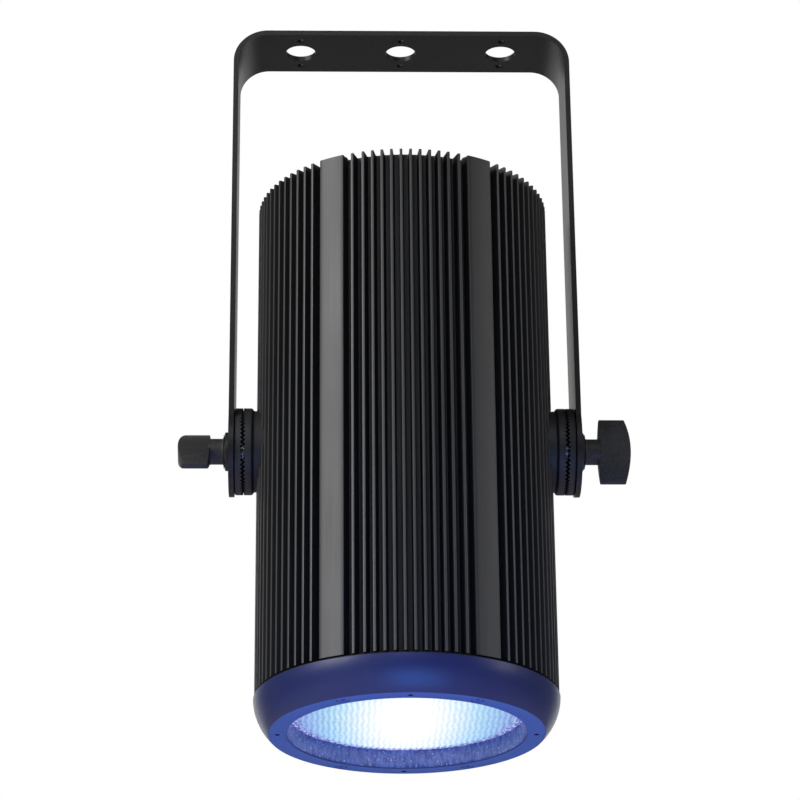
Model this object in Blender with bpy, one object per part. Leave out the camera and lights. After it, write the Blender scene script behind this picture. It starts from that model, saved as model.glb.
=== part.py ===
"""Par can light: a finned lamp body that hangs lens-down in a U-shaped strap yoke.

Frame: +Z up, metres. The origin is the centre of the yoke bar's top face, where a hanging
clamp bolts on. The lamp tilts about an X axis through PIVOT_Z. Everything on the lamp is
given relative to that tilt axis, so its Z values are heights above or below the pivot.
"""
import math

import bmesh
import bpy
from mathutils import Matrix, Vector

MM = 0.001

# ---------------------------------------------------------------- driving dimensions
SEAT_GAP = 0.3 * MM             # clearance left between pieces that touch in reality

YOKE_WIDTH = 166.0 * MM         # over the outside of the two legs
YOKE_STRAP = 37.0 * MM          # strap width, along Y
YOKE_THICKNESS = 2.5 * MM
YOKE_BEND_RADIUS = 17.0 * MM    # outside radius of the two bends
YOKE_EAR_RADIUS = 21.6 * MM     # round end of each leg
YOKE_DROP = 218.4 * MM          # top of the bar down to the tilt axis
HANGING_HOLE_PITCH = 50.0 * MM
HANGING_HOLE_RADIUS = 7.5 * MM
LOCATING_HOLE_RADIUS = 1.7 * MM
LOCATING_HOLE_OFFSET = 12.3 * MM

FIN_TIP_RADIUS = 70.0 * MM      # outside of the lamp body
FIN_ROOT_RADIUS = 64.0 * MM
FIN_THICKNESS = 1.3 * MM
BORE_RADIUS = 60.0 * MM         # inside of the extrusion
HEATSINK_TOP = 125.3 * MM
HEATSINK_BOTTOM = -122.0 * MM
RIB_ANGLES = (30.0, 150.0, 210.0, 330.0)    # wide ribs, degrees from the front
RIB_HALF_WIDTH = 5.2            # degrees
FRONT_FINS = 12
FRONT_FIN_PITCH = 3.73          # degrees
FRONT_EDGE_FIN_SHIFT = 0.63     # the outermost front fins stand a little further out, degrees
SIDE_FINS = 27
SIDE_FIN_FIRST = 38.98          # degrees from the front
SCREW_CIRCLE = 59.5 * MM        # end screws, radius from the lamp's axis
SCREW_PORT_LOBE = 5.0 * MM
SCREW_PORT_RADIUS = 1.8 * MM

BEZEL_TOP = -123.3 * MM
BEZEL_FACE = -139.4 * MM
BEZEL_RADIUS = 70.5 * MM
BEZEL_SIDE_ARC = 23.5 * MM      # radius of the rounded side
BEZEL_ARC_CENTRE = -122.5 * MM
APERTURE_RADIUS = 54.9 * MM
RECESS_RADIUS = 54.0 * MM
LENS_SEAT = -129.9 * MM
LENS_POCKET_RADIUS = 56.9 * MM
RETAINER_POCKET_RADIUS = 62.6 * MM
RETAINER_FLOOR = -126.3 * MM
RETAINER_SCREW_ANGLES = (0.0, 90.0, 180.0, 270.0)
RETAINER_SCREW_CIRCLE = 59.2 * MM
LENS_CROWN = 4.0 * MM           # how far the middle of the lens stands in front of its edge

ROSETTE_RADIUS = 20.6 * MM
ROSETTE_TEETH = 60
ROSETTE_TOOTH_HEIGHT = 1.2 * MM
ROSETTE_TOOTH_INNER = 15.0 * MM
ROSETTE_SEAM_X = 76.2 * MM      # middle of the gap between the two toothed faces
ROSETTE_BODY_DISC_X = 71.6 * MM     # back of the lamp's disc, where its boss begins
ROSETTE_SCREW_OFFSET = 11.5 * MM    # the boss's two screws, above and below the stud
STUD_RADIUS = 3.9 * MM
STUD_HOLE_RADIUS = 4.3 * MM
HUB_RADIUS = 19.3 * MM
HUB_SEAT_X = 62.5 * MM          # flat milled through the fins for the hub
HUB_POCKET_RADIUS = 19.9 * MM

KNOB_LENGTH = 32.2 * MM
KNOB_INNER_X = 91.9 * MM
KNOB_OUTER_X = 107.3 * MM
KNOB_END_PULLBACK = 2.5 * MM    # the outer edge curves back towards the two ends
KNOB_INNER_BOW = 0.7 * MM       # the inner edge curves out towards the two ends
KNOB_MIDDLE_THICKNESS = 9.0 * MM
KNOB_END_THICKNESS = 2.6 * MM
KNOB_SHAFT_RADIUS = 6.15 * MM
WASHER_RADIUS = 9.2 * MM
WASHER_THICKNESS = 1.7 * MM
LEFT_KNOB_TURN = 43.0           # degrees about X, from upright
RIGHT_KNOB_TURN = 0.0

COVER_RADIUS = 60.8 * MM
COVER_CROWN_RADIUS = 49.6 * MM  # the flat middle, with a sloping skirt around it
COVER_LUG_RADIUS = 3.6 * MM     # lugs around the cover screws
SPREADER_TOP = -54.0 * MM
SPREADER_BOTTOM = -62.0 * MM
GLAND_X = -22.0 * MM
GLAND_Y = 14.0 * MM
GLAND_HOLE_RADIUS = 8.3 * MM
EYE_X = 26.0 * MM
EYE_Y = 16.0 * MM
EYE_HOLE_RADIUS = 3.3 * MM
VENT_Y = -22.0 * MM
VENT_HOLE_RADIUS = 4.3 * MM

LED_HOLDER_SCREW_Y = 22.7 * MM  # two screws, in front of and behind the emitter
LEAD_X = 23.0 * MM              # where the two leads pass through the spreader
LEAD_Y = 20.0 * MM
BRACKET_SCREW_X = 30.0 * MM
BRACKET_SCREW_Y = 32.0 * MM
DRIVER_PLATE_Y = 22.0 * MM

M2_SHANK = 0.85 * MM            # radii of the screws, with clearance inside their holes
M2_HOLE = 1.15 * MM
M3_SHANK = 1.45 * MM
M3_HOLE = 1.8 * MM
M4_SHANK = 1.9 * MM
M4_HOLE = 2.2 * MM
M4_HEAD = 3.9 * MM

PIVOT_Z = -YOKE_DROP
SEGMENTS_BEZEL = 52             # has corners on both axes, and none beside a screw
SEGMENTS_LARGE = 48             # shapes as wide as the body
SEGMENTS_DISC = 40              # the lens and the rear gasket
SEGMENTS_MEDIUM = 28            # discs, ears and hidden rings
SEGMENTS_HOLE = 24              # the hanging holes
SEGMENTS_RING = 20              # washers and the safety eye
SEGMENTS_SMALL = 16             # holes and spindles
SEGMENTS_SCREW = 8
HOLE_PHASE = 0.13               # radians


# ---------------------------------------------------------------- materials
def make_material(name, colour, metallic, roughness):
    material = bpy.data.materials.new(name)
    material.use_nodes = True
    shader = material.node_tree.nodes["Principled BSDF"]
    shader.inputs["Base Color"].default_value = (*colour, 1.0)
    shader.inputs["Metallic"].default_value = metallic
    shader.inputs["Roughness"].default_value = roughness
    material.diffuse_color = (*colour, 1.0)
    return material


def make_materials():
    return {
        "anodised": make_material("black_anodised", (0.028, 0.028, 0.030), 0.8, 0.42),
        "powder": make_material("black_powder_coat", (0.020, 0.020, 0.022), 0.0, 0.45),
        "bezel": make_material("blue_satin_paint", (0.020, 0.045, 0.220), 0.2, 0.35),
        "knob": make_material("black_textured_plastic", (0.022, 0.022, 0.024), 0.0, 0.60),
        "cast": make_material("black_cast_metal", (0.018, 0.018, 0.020), 0.3, 0.55),
        "rubber": make_material("black_rubber", (0.010, 0.010, 0.010), 0.0, 0.85),
        "steel": make_material("zinc_steel", (0.55, 0.55, 0.56), 1.0, 0.35),
        "black_steel": make_material("black_steel", (0.03, 0.03, 0.03), 0.9, 0.40),
        "aluminium": make_material("bare_aluminium", (0.75, 0.75, 0.76), 1.0, 0.30),
        "mirror": make_material("bright_reflector", (0.90, 0.90, 0.92), 1.0, 0.08),
        "lens": make_material("moulded_lens", (0.70, 0.84, 1.00), 0.0, 0.10),
        "phosphor": make_material("yellow_phosphor", (0.90, 0.72, 0.12), 0.0, 0.60),
        "ceramic": make_material("white_ceramic", (0.86, 0.86, 0.84), 0.0, 0.50),
        "board": make_material("green_board", (0.02, 0.16, 0.07), 0.0, 0.45),
        "component": make_material("black_component", (0.03, 0.03, 0.035), 0.0, 0.50),
        "winding": make_material("yellow_tape", (0.75, 0.60, 0.10), 0.0, 0.55),
        "plastic": make_material("black_plastic", (0.025, 0.025, 0.028), 0.0, 0.45),
        "red_wire": make_material("red_insulation", (0.55, 0.03, 0.03), 0.0, 0.45),
        "black_wire": make_material("black_insulation", (0.02, 0.02, 0.02), 0.0, 0.45),
    }


# ---------------------------------------------------------------- mesh builders
def polar(radius, degrees):
    """A point at an angle from the front (-Y), turning towards +X."""
    angle = math.radians(degrees)
    return Vector((radius * math.sin(angle), -radius * math.cos(angle), 0.0))


def circle_points(radius, count, centre=(0.0, 0.0), phase=0.0):
    return [
        (centre[0] + radius * math.cos(math.tau * i / count + phase),
         centre[1] + radius * math.sin(math.tau * i / count + phase))
        for i in range(count)
    ]


def turned(outline, count, phase=0.0):
    """A solid of revolution about Z from a closed outline of (radius, height) points."""
    bm = bmesh.new()
    rings = []
    for radius, height in outline:
        if radius == 0.0:
            rings.append([bm.verts.new((0.0, 0.0, height))])
        else:
            circle = circle_points(radius, count, phase=phase)
            rings.append([bm.verts.new((x, y, height)) for x, y in circle])
    for ring, following in zip(rings, rings[1:] + rings[:1]):
        if len(ring) == 1 and len(following) == 1:
            continue
        for i in range(count):
            j = (i + 1) % count
            corners = [ring[i % len(ring)], ring[j % len(ring)],
                       following[j % len(following)], following[i % len(following)]]
            unique = list(dict.fromkeys(corners))
            bm.faces.new(unique)
    bmesh.ops.recalc_face_normals(bm, faces=bm.faces)
    return bm


def rod(radius, low, high, count, phase=0.0):
    return turned([(0.0, low), (radius, low), (radius, high), (0.0, high)], count, phase)


def drill(radius, low, high, count):
    """A cutter for a round hole, turned a little so that no corner meets a neighbour's."""
    return rod(radius, low, high, count, HOLE_PHASE)


def tube(inner, outer, low, high, count):
    return turned([(inner, low), (outer, low), (outer, high), (inner, high)], count)


def prism(loops, low, high):
    """Extrude a flat outline, with any further loops as holes, from low to high in Z."""
    bm = bmesh.new()
    edges = []
    for loop in loops:
        verts = [bm.verts.new((x, y, low)) for x, y in loop]
        edges += [bm.edges.new(pair) for pair in zip(verts, verts[1:] + verts[:1])]
    bmesh.ops.triangle_fill(bm, use_beauty=True, edges=edges)
    grown = bmesh.ops.extrude_face_region(bm, geom=list(bm.faces))
    lifted = [item for item in grown["geom"] if isinstance(item, bmesh.types.BMVert)]
    bmesh.ops.translate(bm, vec=(0.0, 0.0, high - low), verts=lifted)
    bmesh.ops.recalc_face_normals(bm, faces=bm.faces)
    return bm


def block(size, centre, bevel=0.0):
    bm = bmesh.new()
    bmesh.ops.create_cube(bm, size=1.0)
    bmesh.ops.scale(bm, vec=size, verts=bm.verts)
    bmesh.ops.translate(bm, vec=centre, verts=bm.verts)
    if bevel > 0.0:
        bmesh.ops.bevel(bm, geom=list(bm.edges), offset=bevel, segments=1, affect="EDGES",
                        profile=0.5)
    return bm


def along_x(bm, side=1):
    """Turn a mesh built about Z so that its +Z points along +X, or -X for side -1."""
    bmesh.ops.transform(bm, matrix=Matrix.Rotation(side * math.pi / 2, 4, "Y"), verts=bm.verts)
    return bm


def moved(bm, offset):
    bmesh.ops.translate(bm, vec=offset, verts=bm.verts)
    return bm


# ---------------------------------------------------------------- objects
def add_part(name, bm, material, parent=None, location=(0.0, 0.0, 0.0), smooth_angle=35.0):
    mesh = bpy.data.meshes.new(name)
    bm.to_mesh(mesh)
    bm.free()
    mesh.shade_smooth()
    mesh.set_sharp_from_angle(angle=math.radians(smooth_angle))
    part = bpy.data.objects.new(name, mesh)
    part.data.materials.append(material)
    bpy.context.scene.collection.objects.link(part)
    part.parent = parent
    part.location = location
    return part


def add_empty(name, location, parent=None):
    empty = bpy.data.objects.new(name, None)
    bpy.context.scene.collection.objects.link(empty)
    empty.parent = parent
    empty.location = location
    return empty


def combine(part, shapes, operation):
    """Cut away or join each mesh, in the part's own coordinates, and keep the result."""
    for index, shape in enumerate(shapes):
        tool = add_part(f"{part.name}_tool_{index}", shape, part.data.materials[0])
        tool.hide_render = True
        tool.display_type = "WIRE"
        tool.parent = part
        modifier = part.modifiers.new(f"{operation.lower()}_{index}", "BOOLEAN")
        modifier.operation = operation
        modifier.solver = "EXACT"
        modifier.object = tool
    bpy.context.view_layer.update()
    finished = bpy.data.meshes.new_from_object(
        part.evaluated_get(bpy.context.evaluated_depsgraph_get()))
    part.modifiers.clear()
    part.data = finished
    for tool in [child for child in part.children if child.name.startswith(f"{part.name}_tool_")]:
        bpy.data.objects.remove(tool)
    return part


def cut(part, shapes):
    return combine(part, shapes, "DIFFERENCE")


def join(part, shapes):
    return combine(part, shapes, "UNION")


# ---------------------------------------------------------------- yoke
def strap_profile():
    """Half of the strap's outline in the XZ plane, as (x, z) from bar centre to leg end."""
    half = YOKE_WIDTH / 2
    steps = 6
    leg_end = PIVOT_Z
    outer = [(0.0, 0.0)]
    inner = [(0.0, -YOKE_THICKNESS)]
    for i in range(steps + 1):
        angle = math.pi / 2 * (1 - i / steps)
        centre_x = half - YOKE_BEND_RADIUS
        centre_z = -YOKE_BEND_RADIUS
        inner_radius = YOKE_BEND_RADIUS - YOKE_THICKNESS
        outer.append((centre_x + YOKE_BEND_RADIUS * math.cos(angle),
                      centre_z + YOKE_BEND_RADIUS * math.sin(angle)))
        inner.append((centre_x + inner_radius * math.cos(angle),
                      centre_z + inner_radius * math.sin(angle)))
    outer.append((half, leg_end))
    inner.append((half - YOKE_THICKNESS, leg_end))
    return outer, inner


def build_yoke(materials):
    outer, inner = strap_profile()
    right = outer[1:] + inner[:0:-1]
    left = [(-x, z) for x, z in reversed(right)]
    bm = prism([right + left], -YOKE_STRAP / 2, YOKE_STRAP / 2)
    bmesh.ops.transform(bm, matrix=Matrix.Rotation(math.pi / 2, 4, "X"), verts=bm.verts)
    yoke = add_part("yoke", bm, materials["powder"])
    ears = []
    for side in (-1, 1):
        ear = along_x(rod(YOKE_EAR_RADIUS, 0.0, YOKE_THICKNESS, SEGMENTS_MEDIUM))
        inside = YOKE_WIDTH / 2 - YOKE_THICKNESS
        ears.append(moved(ear, (inside if side > 0 else -inside - YOKE_THICKNESS, 0.0, PIVOT_Z)))
    join(yoke, ears)
    holes = []
    for index in (-1, 0, 1):
        x = index * HANGING_HOLE_PITCH
        hole = drill(HANGING_HOLE_RADIUS, -YOKE_BEND_RADIUS, YOKE_BEND_RADIUS, SEGMENTS_HOLE)
        holes.append(moved(hole, (x, 0.0, 0.0)))
        for y in (-LOCATING_HOLE_OFFSET, LOCATING_HOLE_OFFSET):
            hole = drill(LOCATING_HOLE_RADIUS, -YOKE_BEND_RADIUS, YOKE_BEND_RADIUS,
                         SEGMENTS_SCREW)
            holes.append(moved(hole, (x, y, 0.0)))
    holes.append(moved(along_x(drill(STUD_HOLE_RADIUS, -YOKE_WIDTH, YOKE_WIDTH, SEGMENTS_SMALL)),
                       (0.0, 0.0, PIVOT_Z)))
    cut(yoke, holes)
    return yoke


# ---------------------------------------------------------------- toothed tilt rosettes
def toothed_disc(hub):
    """A disc about Z with face teeth that point to +Z, tips at Z 0, and an optional hub below.

    hub is None or (radius, depth): the smaller boss behind the disc and how deep it ends.
    """
    if hub:
        disc_back = ROSETTE_BODY_DISC_X - ROSETTE_SEAM_X + SEAT_GAP / 2
    else:
        disc_back = ROSETTE_SEAM_X - (YOKE_WIDTH / 2 - YOKE_THICKNESS) + 1.5 * SEAT_GAP
    recess = -ROSETTE_TOOTH_HEIGHT
    bm = bmesh.new()
    step = math.tau / ROSETTE_TEETH

    def ring(radius, height, phase, count=ROSETTE_TEETH):
        return [
            bm.verts.new((radius * math.cos(math.tau * i / count + phase),
                          radius * math.sin(math.tau * i / count + phase), height))
            for i in range(count)
        ]

    valley = {r: ring(r, -ROSETTE_TOOTH_HEIGHT, 0.0) for r in (ROSETTE_TOOTH_INNER, ROSETTE_RADIUS)}
    tip = {r: ring(r, 0.0, step / 2) for r in (ROSETTE_TOOTH_INNER, ROSETTE_RADIUS)}
    back_rim = ring(ROSETTE_RADIUS, disc_back, 0.0)
    front_hole = ring(STUD_HOLE_RADIUS, recess, 0.0, SEGMENTS_SMALL)
    for i in range(ROSETTE_TEETH):
        j = (i + 1) % ROSETTE_TEETH
        low_in, low_out = valley[ROSETTE_TOOTH_INNER], valley[ROSETTE_RADIUS]
        top_in, top_out = tip[ROSETTE_TOOTH_INNER], tip[ROSETTE_RADIUS]
        bm.faces.new((low_in[i], low_out[i], top_out[i], top_in[i]))
        bm.faces.new((top_in[i], top_out[i], low_out[j], low_in[j]))
        bm.faces.new((low_out[i], back_rim[i], back_rim[j], low_out[j], top_out[i]))
        bm.faces.new((low_in[j], low_in[i], top_in[i]))

    def loop_edges(ring_verts):
        pairs = zip(ring_verts, ring_verts[1:] + ring_verts[:1])
        return [bm.edges.get(pair) or bm.edges.new(pair) for pair in pairs]

    def flat_ring(first, second):
        bmesh.ops.triangle_fill(bm, use_beauty=True, edges=loop_edges(first) + loop_edges(second))

    def wall(first, second):
        count = len(first)
        for i in range(count):
            j = (i + 1) % count
            bm.faces.new((first[i], first[j], second[j], second[i]))

    flat_ring(valley[ROSETTE_TOOTH_INNER], front_hole)
    if hub:
        hub_radius, hub_depth = hub
        hub_top = ring(hub_radius, disc_back, 0.0, SEGMENTS_MEDIUM)
        hub_end = ring(hub_radius, hub_depth, 0.0, SEGMENTS_MEDIUM)
        hole_end = ring(STUD_HOLE_RADIUS, hub_depth, 0.0, SEGMENTS_SMALL)
        flat_ring(back_rim, hub_top)
        wall(hub_top, hub_end)
        flat_ring(hub_end, hole_end)
    else:
        hole_end = ring(STUD_HOLE_RADIUS, disc_back, 0.0, SEGMENTS_SMALL)
        flat_ring(back_rim, hole_end)
    wall(front_hole, hole_end)
    bmesh.ops.triangulate(bm, faces=bm.faces)
    bmesh.ops.recalc_face_normals(bm, faces=bm.faces)
    return bm


def build_rosettes(materials, tilt):
    recess = -ROSETTE_TOOTH_HEIGHT
    hub_depth = HUB_SEAT_X + SEAT_GAP - (ROSETTE_SEAM_X - SEAT_GAP / 2)
    cone = 2.0 * MM
    for label, side in (("left", -1), ("right", 1)):
        yoke_disc = along_x(toothed_disc(None), -side)
        add_part(f"yoke_rosette_{label}", yoke_disc, materials["cast"], None,
                 (side * (ROSETTE_SEAM_X + SEAT_GAP / 2), 0.0, PIVOT_Z))
        body_disc = along_x(toothed_disc((HUB_RADIUS, hub_depth)), side)
        location = (side * (ROSETTE_SEAM_X - SEAT_GAP / 2), 0.0, 0.0)
        disc = add_part(f"body_rosette_{label}", body_disc, materials["cast"], tilt, location)
        holes = []
        for end, z in (("upper", ROSETTE_SCREW_OFFSET), ("lower", -ROSETTE_SCREW_OFFSET)):
            mouth = M4_HEAD + 0.4 * MM
            profile = [(0.0, recess + MM), (mouth, recess + MM), (mouth, recess),
                       (M4_HOLE, recess - cone), (M4_HOLE, hub_depth - MM),
                       (0.0, hub_depth - MM)]
            hole = turned(profile, SEGMENTS_SCREW, HOLE_PHASE)
            holes.append(moved(along_x(hole, side), (0.0, 0.0, z)))
            head = recess - 0.1 * MM
            shank_end = hub_depth - 1.8 * MM
            screw = turned([(0.0, head), (M4_HEAD, head), (M4_SHANK, head - cone),
                            (M4_SHANK, shank_end), (0.0, shank_end)], SEGMENTS_SCREW)
            add_part(f"rosette_screw_{label}_{end}", along_x(screw, side), materials["steel"],
                     tilt, (location[0], 0.0, z))
        cut(disc, holes)


# ---------------------------------------------------------------- lamp body
def fin_angles():
    """Every fin's angle from the front, in degrees."""
    angles = []
    for i in range(FRONT_FINS):
        offset = (i - (FRONT_FINS - 1) / 2) * FRONT_FIN_PITCH
        if i in (0, FRONT_FINS - 1):
            offset += math.copysign(FRONT_EDGE_FIN_SHIFT, offset)
        angles += [offset % 360.0, (180.0 + offset) % 360.0]
    side_pitch = (180.0 - 2 * SIDE_FIN_FIRST) / (SIDE_FINS - 1)
    for i in range(SIDE_FINS):
        offset = SIDE_FIN_FIRST + i * side_pitch
        angles += [offset, 360.0 - offset]
    return angles


def heatsink_outline():
    """The extrusion's outside: thin parallel fins and four wide ribs on a round core."""
    features = [(angle, None) for angle in fin_angles()]
    features += [(angle, RIB_HALF_WIDTH) for angle in RIB_ANGLES]
    outline = []
    for angle, half_width in sorted(features):
        if half_width is None:
            root = math.degrees(math.asin(FIN_THICKNESS / 2 / FIN_ROOT_RADIUS))
            tip = math.degrees(math.asin(FIN_THICKNESS / 2 / FIN_TIP_RADIUS))
            tips = (angle - tip, angle + tip)
        else:
            root = half_width
            tips = tuple(angle + half_width * k / 2 for k in range(-2, 3))
        outline.append(polar(FIN_ROOT_RADIUS, angle - root).xy)
        outline += [polar(FIN_TIP_RADIUS, a).xy for a in tips]
        outline.append(polar(FIN_ROOT_RADIUS, angle + root).xy)
    return outline


def bore_outline():
    """The extrusion's inside: a round bore with a lobe around each screw port."""
    squared = BORE_RADIUS ** 2 + SCREW_CIRCLE ** 2 - SCREW_PORT_LOBE ** 2
    meet = math.degrees(math.acos(squared / (2 * BORE_RADIUS * SCREW_CIRCLE)))
    outline = []
    ends = sorted(RIB_ANGLES)
    for index, angle in enumerate(ends):
        centre = polar(SCREW_CIRCLE, angle)
        first = polar(BORE_RADIUS, angle - meet) - centre
        inward = -centre.normalized()
        spread = inward.angle(first)
        for k in range(7):
            turn = spread * (1 - k / 3)
            spoke = Matrix.Rotation(turn, 3, "Z") @ inward * SCREW_PORT_LOBE
            outline.append((centre + spoke).xy)
        following = ends[(index + 1) % len(ends)] + (360.0 if index + 1 == len(ends) else 0.0)
        span = following - meet - (angle + meet)
        steps = max(2, round(span / 6.0))
        outline += [polar(BORE_RADIUS, angle + meet + span * k / steps).xy for k in range(1, steps)]
    return outline


def port_outline(angle):
    centre = polar(SCREW_CIRCLE, angle)
    return circle_points(SCREW_PORT_RADIUS, SEGMENTS_SCREW, centre.xy)


def build_heatsink(materials, tilt):
    loops = [heatsink_outline(), bore_outline()] + [port_outline(a) for a in RIB_ANGLES]
    bm = prism(loops, HEATSINK_BOTTOM, HEATSINK_TOP)
    heatsink = add_part("heatsink_body", bm, materials["anodised"], tilt)
    pockets = []
    for side in (-1, 1):
        pocket = rod(HUB_POCKET_RADIUS, HUB_SEAT_X, FIN_TIP_RADIUS + 5 * MM, SEGMENTS_MEDIUM)
        pockets.append(along_x(pocket, side))
        for z in (-ROSETTE_SCREW_OFFSET, ROSETTE_SCREW_OFFSET):
            hole = drill(M4_HOLE, FIN_ROOT_RADIUS / 2, FIN_TIP_RADIUS, SEGMENTS_SCREW)
            pockets.append(moved(along_x(hole, side), (0.0, 0.0, z)))
    return cut(heatsink, pockets)


def bezel_side():
    """The bezel's rounded side from the top edge down to the crease of the front face."""
    centre_radius = BEZEL_RADIUS - BEZEL_SIDE_ARC
    last = math.asin((BEZEL_ARC_CENTRE - BEZEL_FACE) / BEZEL_SIDE_ARC)
    first = math.asin((BEZEL_ARC_CENTRE - BEZEL_TOP) / BEZEL_SIDE_ARC)
    steps = 5
    points = []
    for i in range(steps + 1):
        angle = first + (last - first) * i / steps
        points.append((centre_radius + BEZEL_SIDE_ARC * math.cos(angle),
                       BEZEL_ARC_CENTRE - BEZEL_SIDE_ARC * math.sin(angle)))
    return points


def build_front(materials, tilt):
    inside = [
        (APERTURE_RADIUS + 0.5 * MM, BEZEL_FACE),
        (APERTURE_RADIUS, BEZEL_FACE + 0.5 * MM),
        (RECESS_RADIUS, LENS_SEAT),
        (LENS_POCKET_RADIUS, LENS_SEAT),
        (LENS_POCKET_RADIUS, RETAINER_FLOOR),
        (RETAINER_POCKET_RADIUS, RETAINER_FLOOR),
        (RETAINER_POCKET_RADIUS, BEZEL_TOP),
    ]
    bezel = add_part("front_bezel", turned(bezel_side() + inside, SEGMENTS_BEZEL),
                     materials["bezel"], tilt)
    holes = []
    seat = BEZEL_FACE + 1.25 * MM
    for angle in RIB_ANGLES:
        profile = [(0.0, BEZEL_FACE - MM), (4.0 * MM, BEZEL_FACE - MM), (M3_HOLE, seat),
                   (M3_HOLE, BEZEL_TOP + MM), (0.0, BEZEL_TOP + MM)]
        holes.append(moved(turned(profile, SEGMENTS_SMALL, HOLE_PHASE),
                           polar(SCREW_CIRCLE, angle)))
    for angle in RETAINER_SCREW_ANGLES:
        hole = drill(M2_HOLE, BEZEL_FACE - MM, BEZEL_TOP + MM, SEGMENTS_SCREW)
        holes.append(moved(hole, polar(RETAINER_SCREW_CIRCLE, angle)))
    cut(bezel, holes)
    head = BEZEL_FACE + 0.1 * MM
    top = BEZEL_FACE + 35.0 * MM
    for index, angle in enumerate(RIB_ANGLES, 1):
        screw = turned([(0.0, head), (2.6 * MM, head), (M3_SHANK, seat), (M3_SHANK, top),
                        (0.0, top)], SEGMENTS_SCREW)
        add_part(f"bezel_screw_{index}", screw, materials["black_steel"], tilt,
                 polar(SCREW_CIRCLE, angle))

    gasket = tube(RETAINER_POCKET_RADIUS + SEAT_GAP, 69.2 * MM, BEZEL_TOP + SEAT_GAP,
                  HEATSINK_BOTTOM - SEAT_GAP, SEGMENTS_LARGE)
    add_part("bezel_gasket", gasket, materials["rubber"], tilt)

    flange_radius = LENS_POCKET_RADIUS - SEAT_GAP
    flange_low = LENS_SEAT + SEAT_GAP
    flange_high = flange_low + 2.2 * MM
    edge_radius = RECESS_RADIUS - 0.4 * MM
    edge_z = LENS_SEAT - 0.8 * MM
    crown_radius = (edge_radius ** 2 + LENS_CROWN ** 2) / (2 * LENS_CROWN)
    crown_centre = edge_z - LENS_CROWN + crown_radius
    crown = []
    crown_steps = 4
    for i in range(crown_steps + 1):
        radius = edge_radius * i / crown_steps
        crown.append((radius, crown_centre - math.sqrt(crown_radius ** 2 - radius ** 2)))
    outline = crown + [(edge_radius, flange_low), (flange_radius, flange_low),
                       (flange_radius, flange_high), (0.0, flange_high)]
    add_part("lens", turned(outline, SEGMENTS_DISC), materials["lens"], tilt)

    seal = tube(52.6 * MM, flange_radius - 0.1 * MM, flange_high + SEAT_GAP, RETAINER_FLOOR,
                SEGMENTS_MEDIUM)
    add_part("lens_seal", seal, materials["rubber"], tilt)

    ring_low = RETAINER_FLOOR + SEAT_GAP
    ring_high = ring_low + 1.8 * MM
    ring = tube(51.5 * MM, RETAINER_POCKET_RADIUS - 0.5 * MM, ring_low, ring_high,
                SEGMENTS_MEDIUM)
    retainer = add_part("lens_retainer", ring, materials["black_steel"], tilt)
    notches = [
        moved(drill(3.3 * MM, ring_low - MM, ring_high + MM, SEGMENTS_SCREW),
              polar(SCREW_CIRCLE, angle))
        for angle in RIB_ANGLES
    ]
    head = 2.2 * MM
    mouth = head + 0.4 * MM
    cone = 1.1 * MM
    for angle in RETAINER_SCREW_ANGLES:
        profile = [(0.0, ring_low - MM), (1.4 * MM, ring_low - MM), (1.4 * MM, ring_high - cone),
                   (mouth, ring_high), (mouth, ring_high + MM), (0.0, ring_high + MM)]
        notches.append(moved(turned(profile, SEGMENTS_SCREW, HOLE_PHASE),
                             polar(RETAINER_SCREW_CIRCLE, angle)))
    cut(retainer, notches)
    low = BEZEL_FACE + 3.0 * MM
    top = ring_high - 0.05 * MM
    for index, angle in enumerate(RETAINER_SCREW_ANGLES, 1):
        screw = turned([(0.0, low), (M2_SHANK, low), (M2_SHANK, top - cone), (head, top),
                        (0.0, top)], SEGMENTS_SCREW)
        add_part(f"retainer_screw_{index}", screw, materials["steel"], tilt,
                 polar(RETAINER_SCREW_CIRCLE, angle))
    return ring_high


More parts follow.
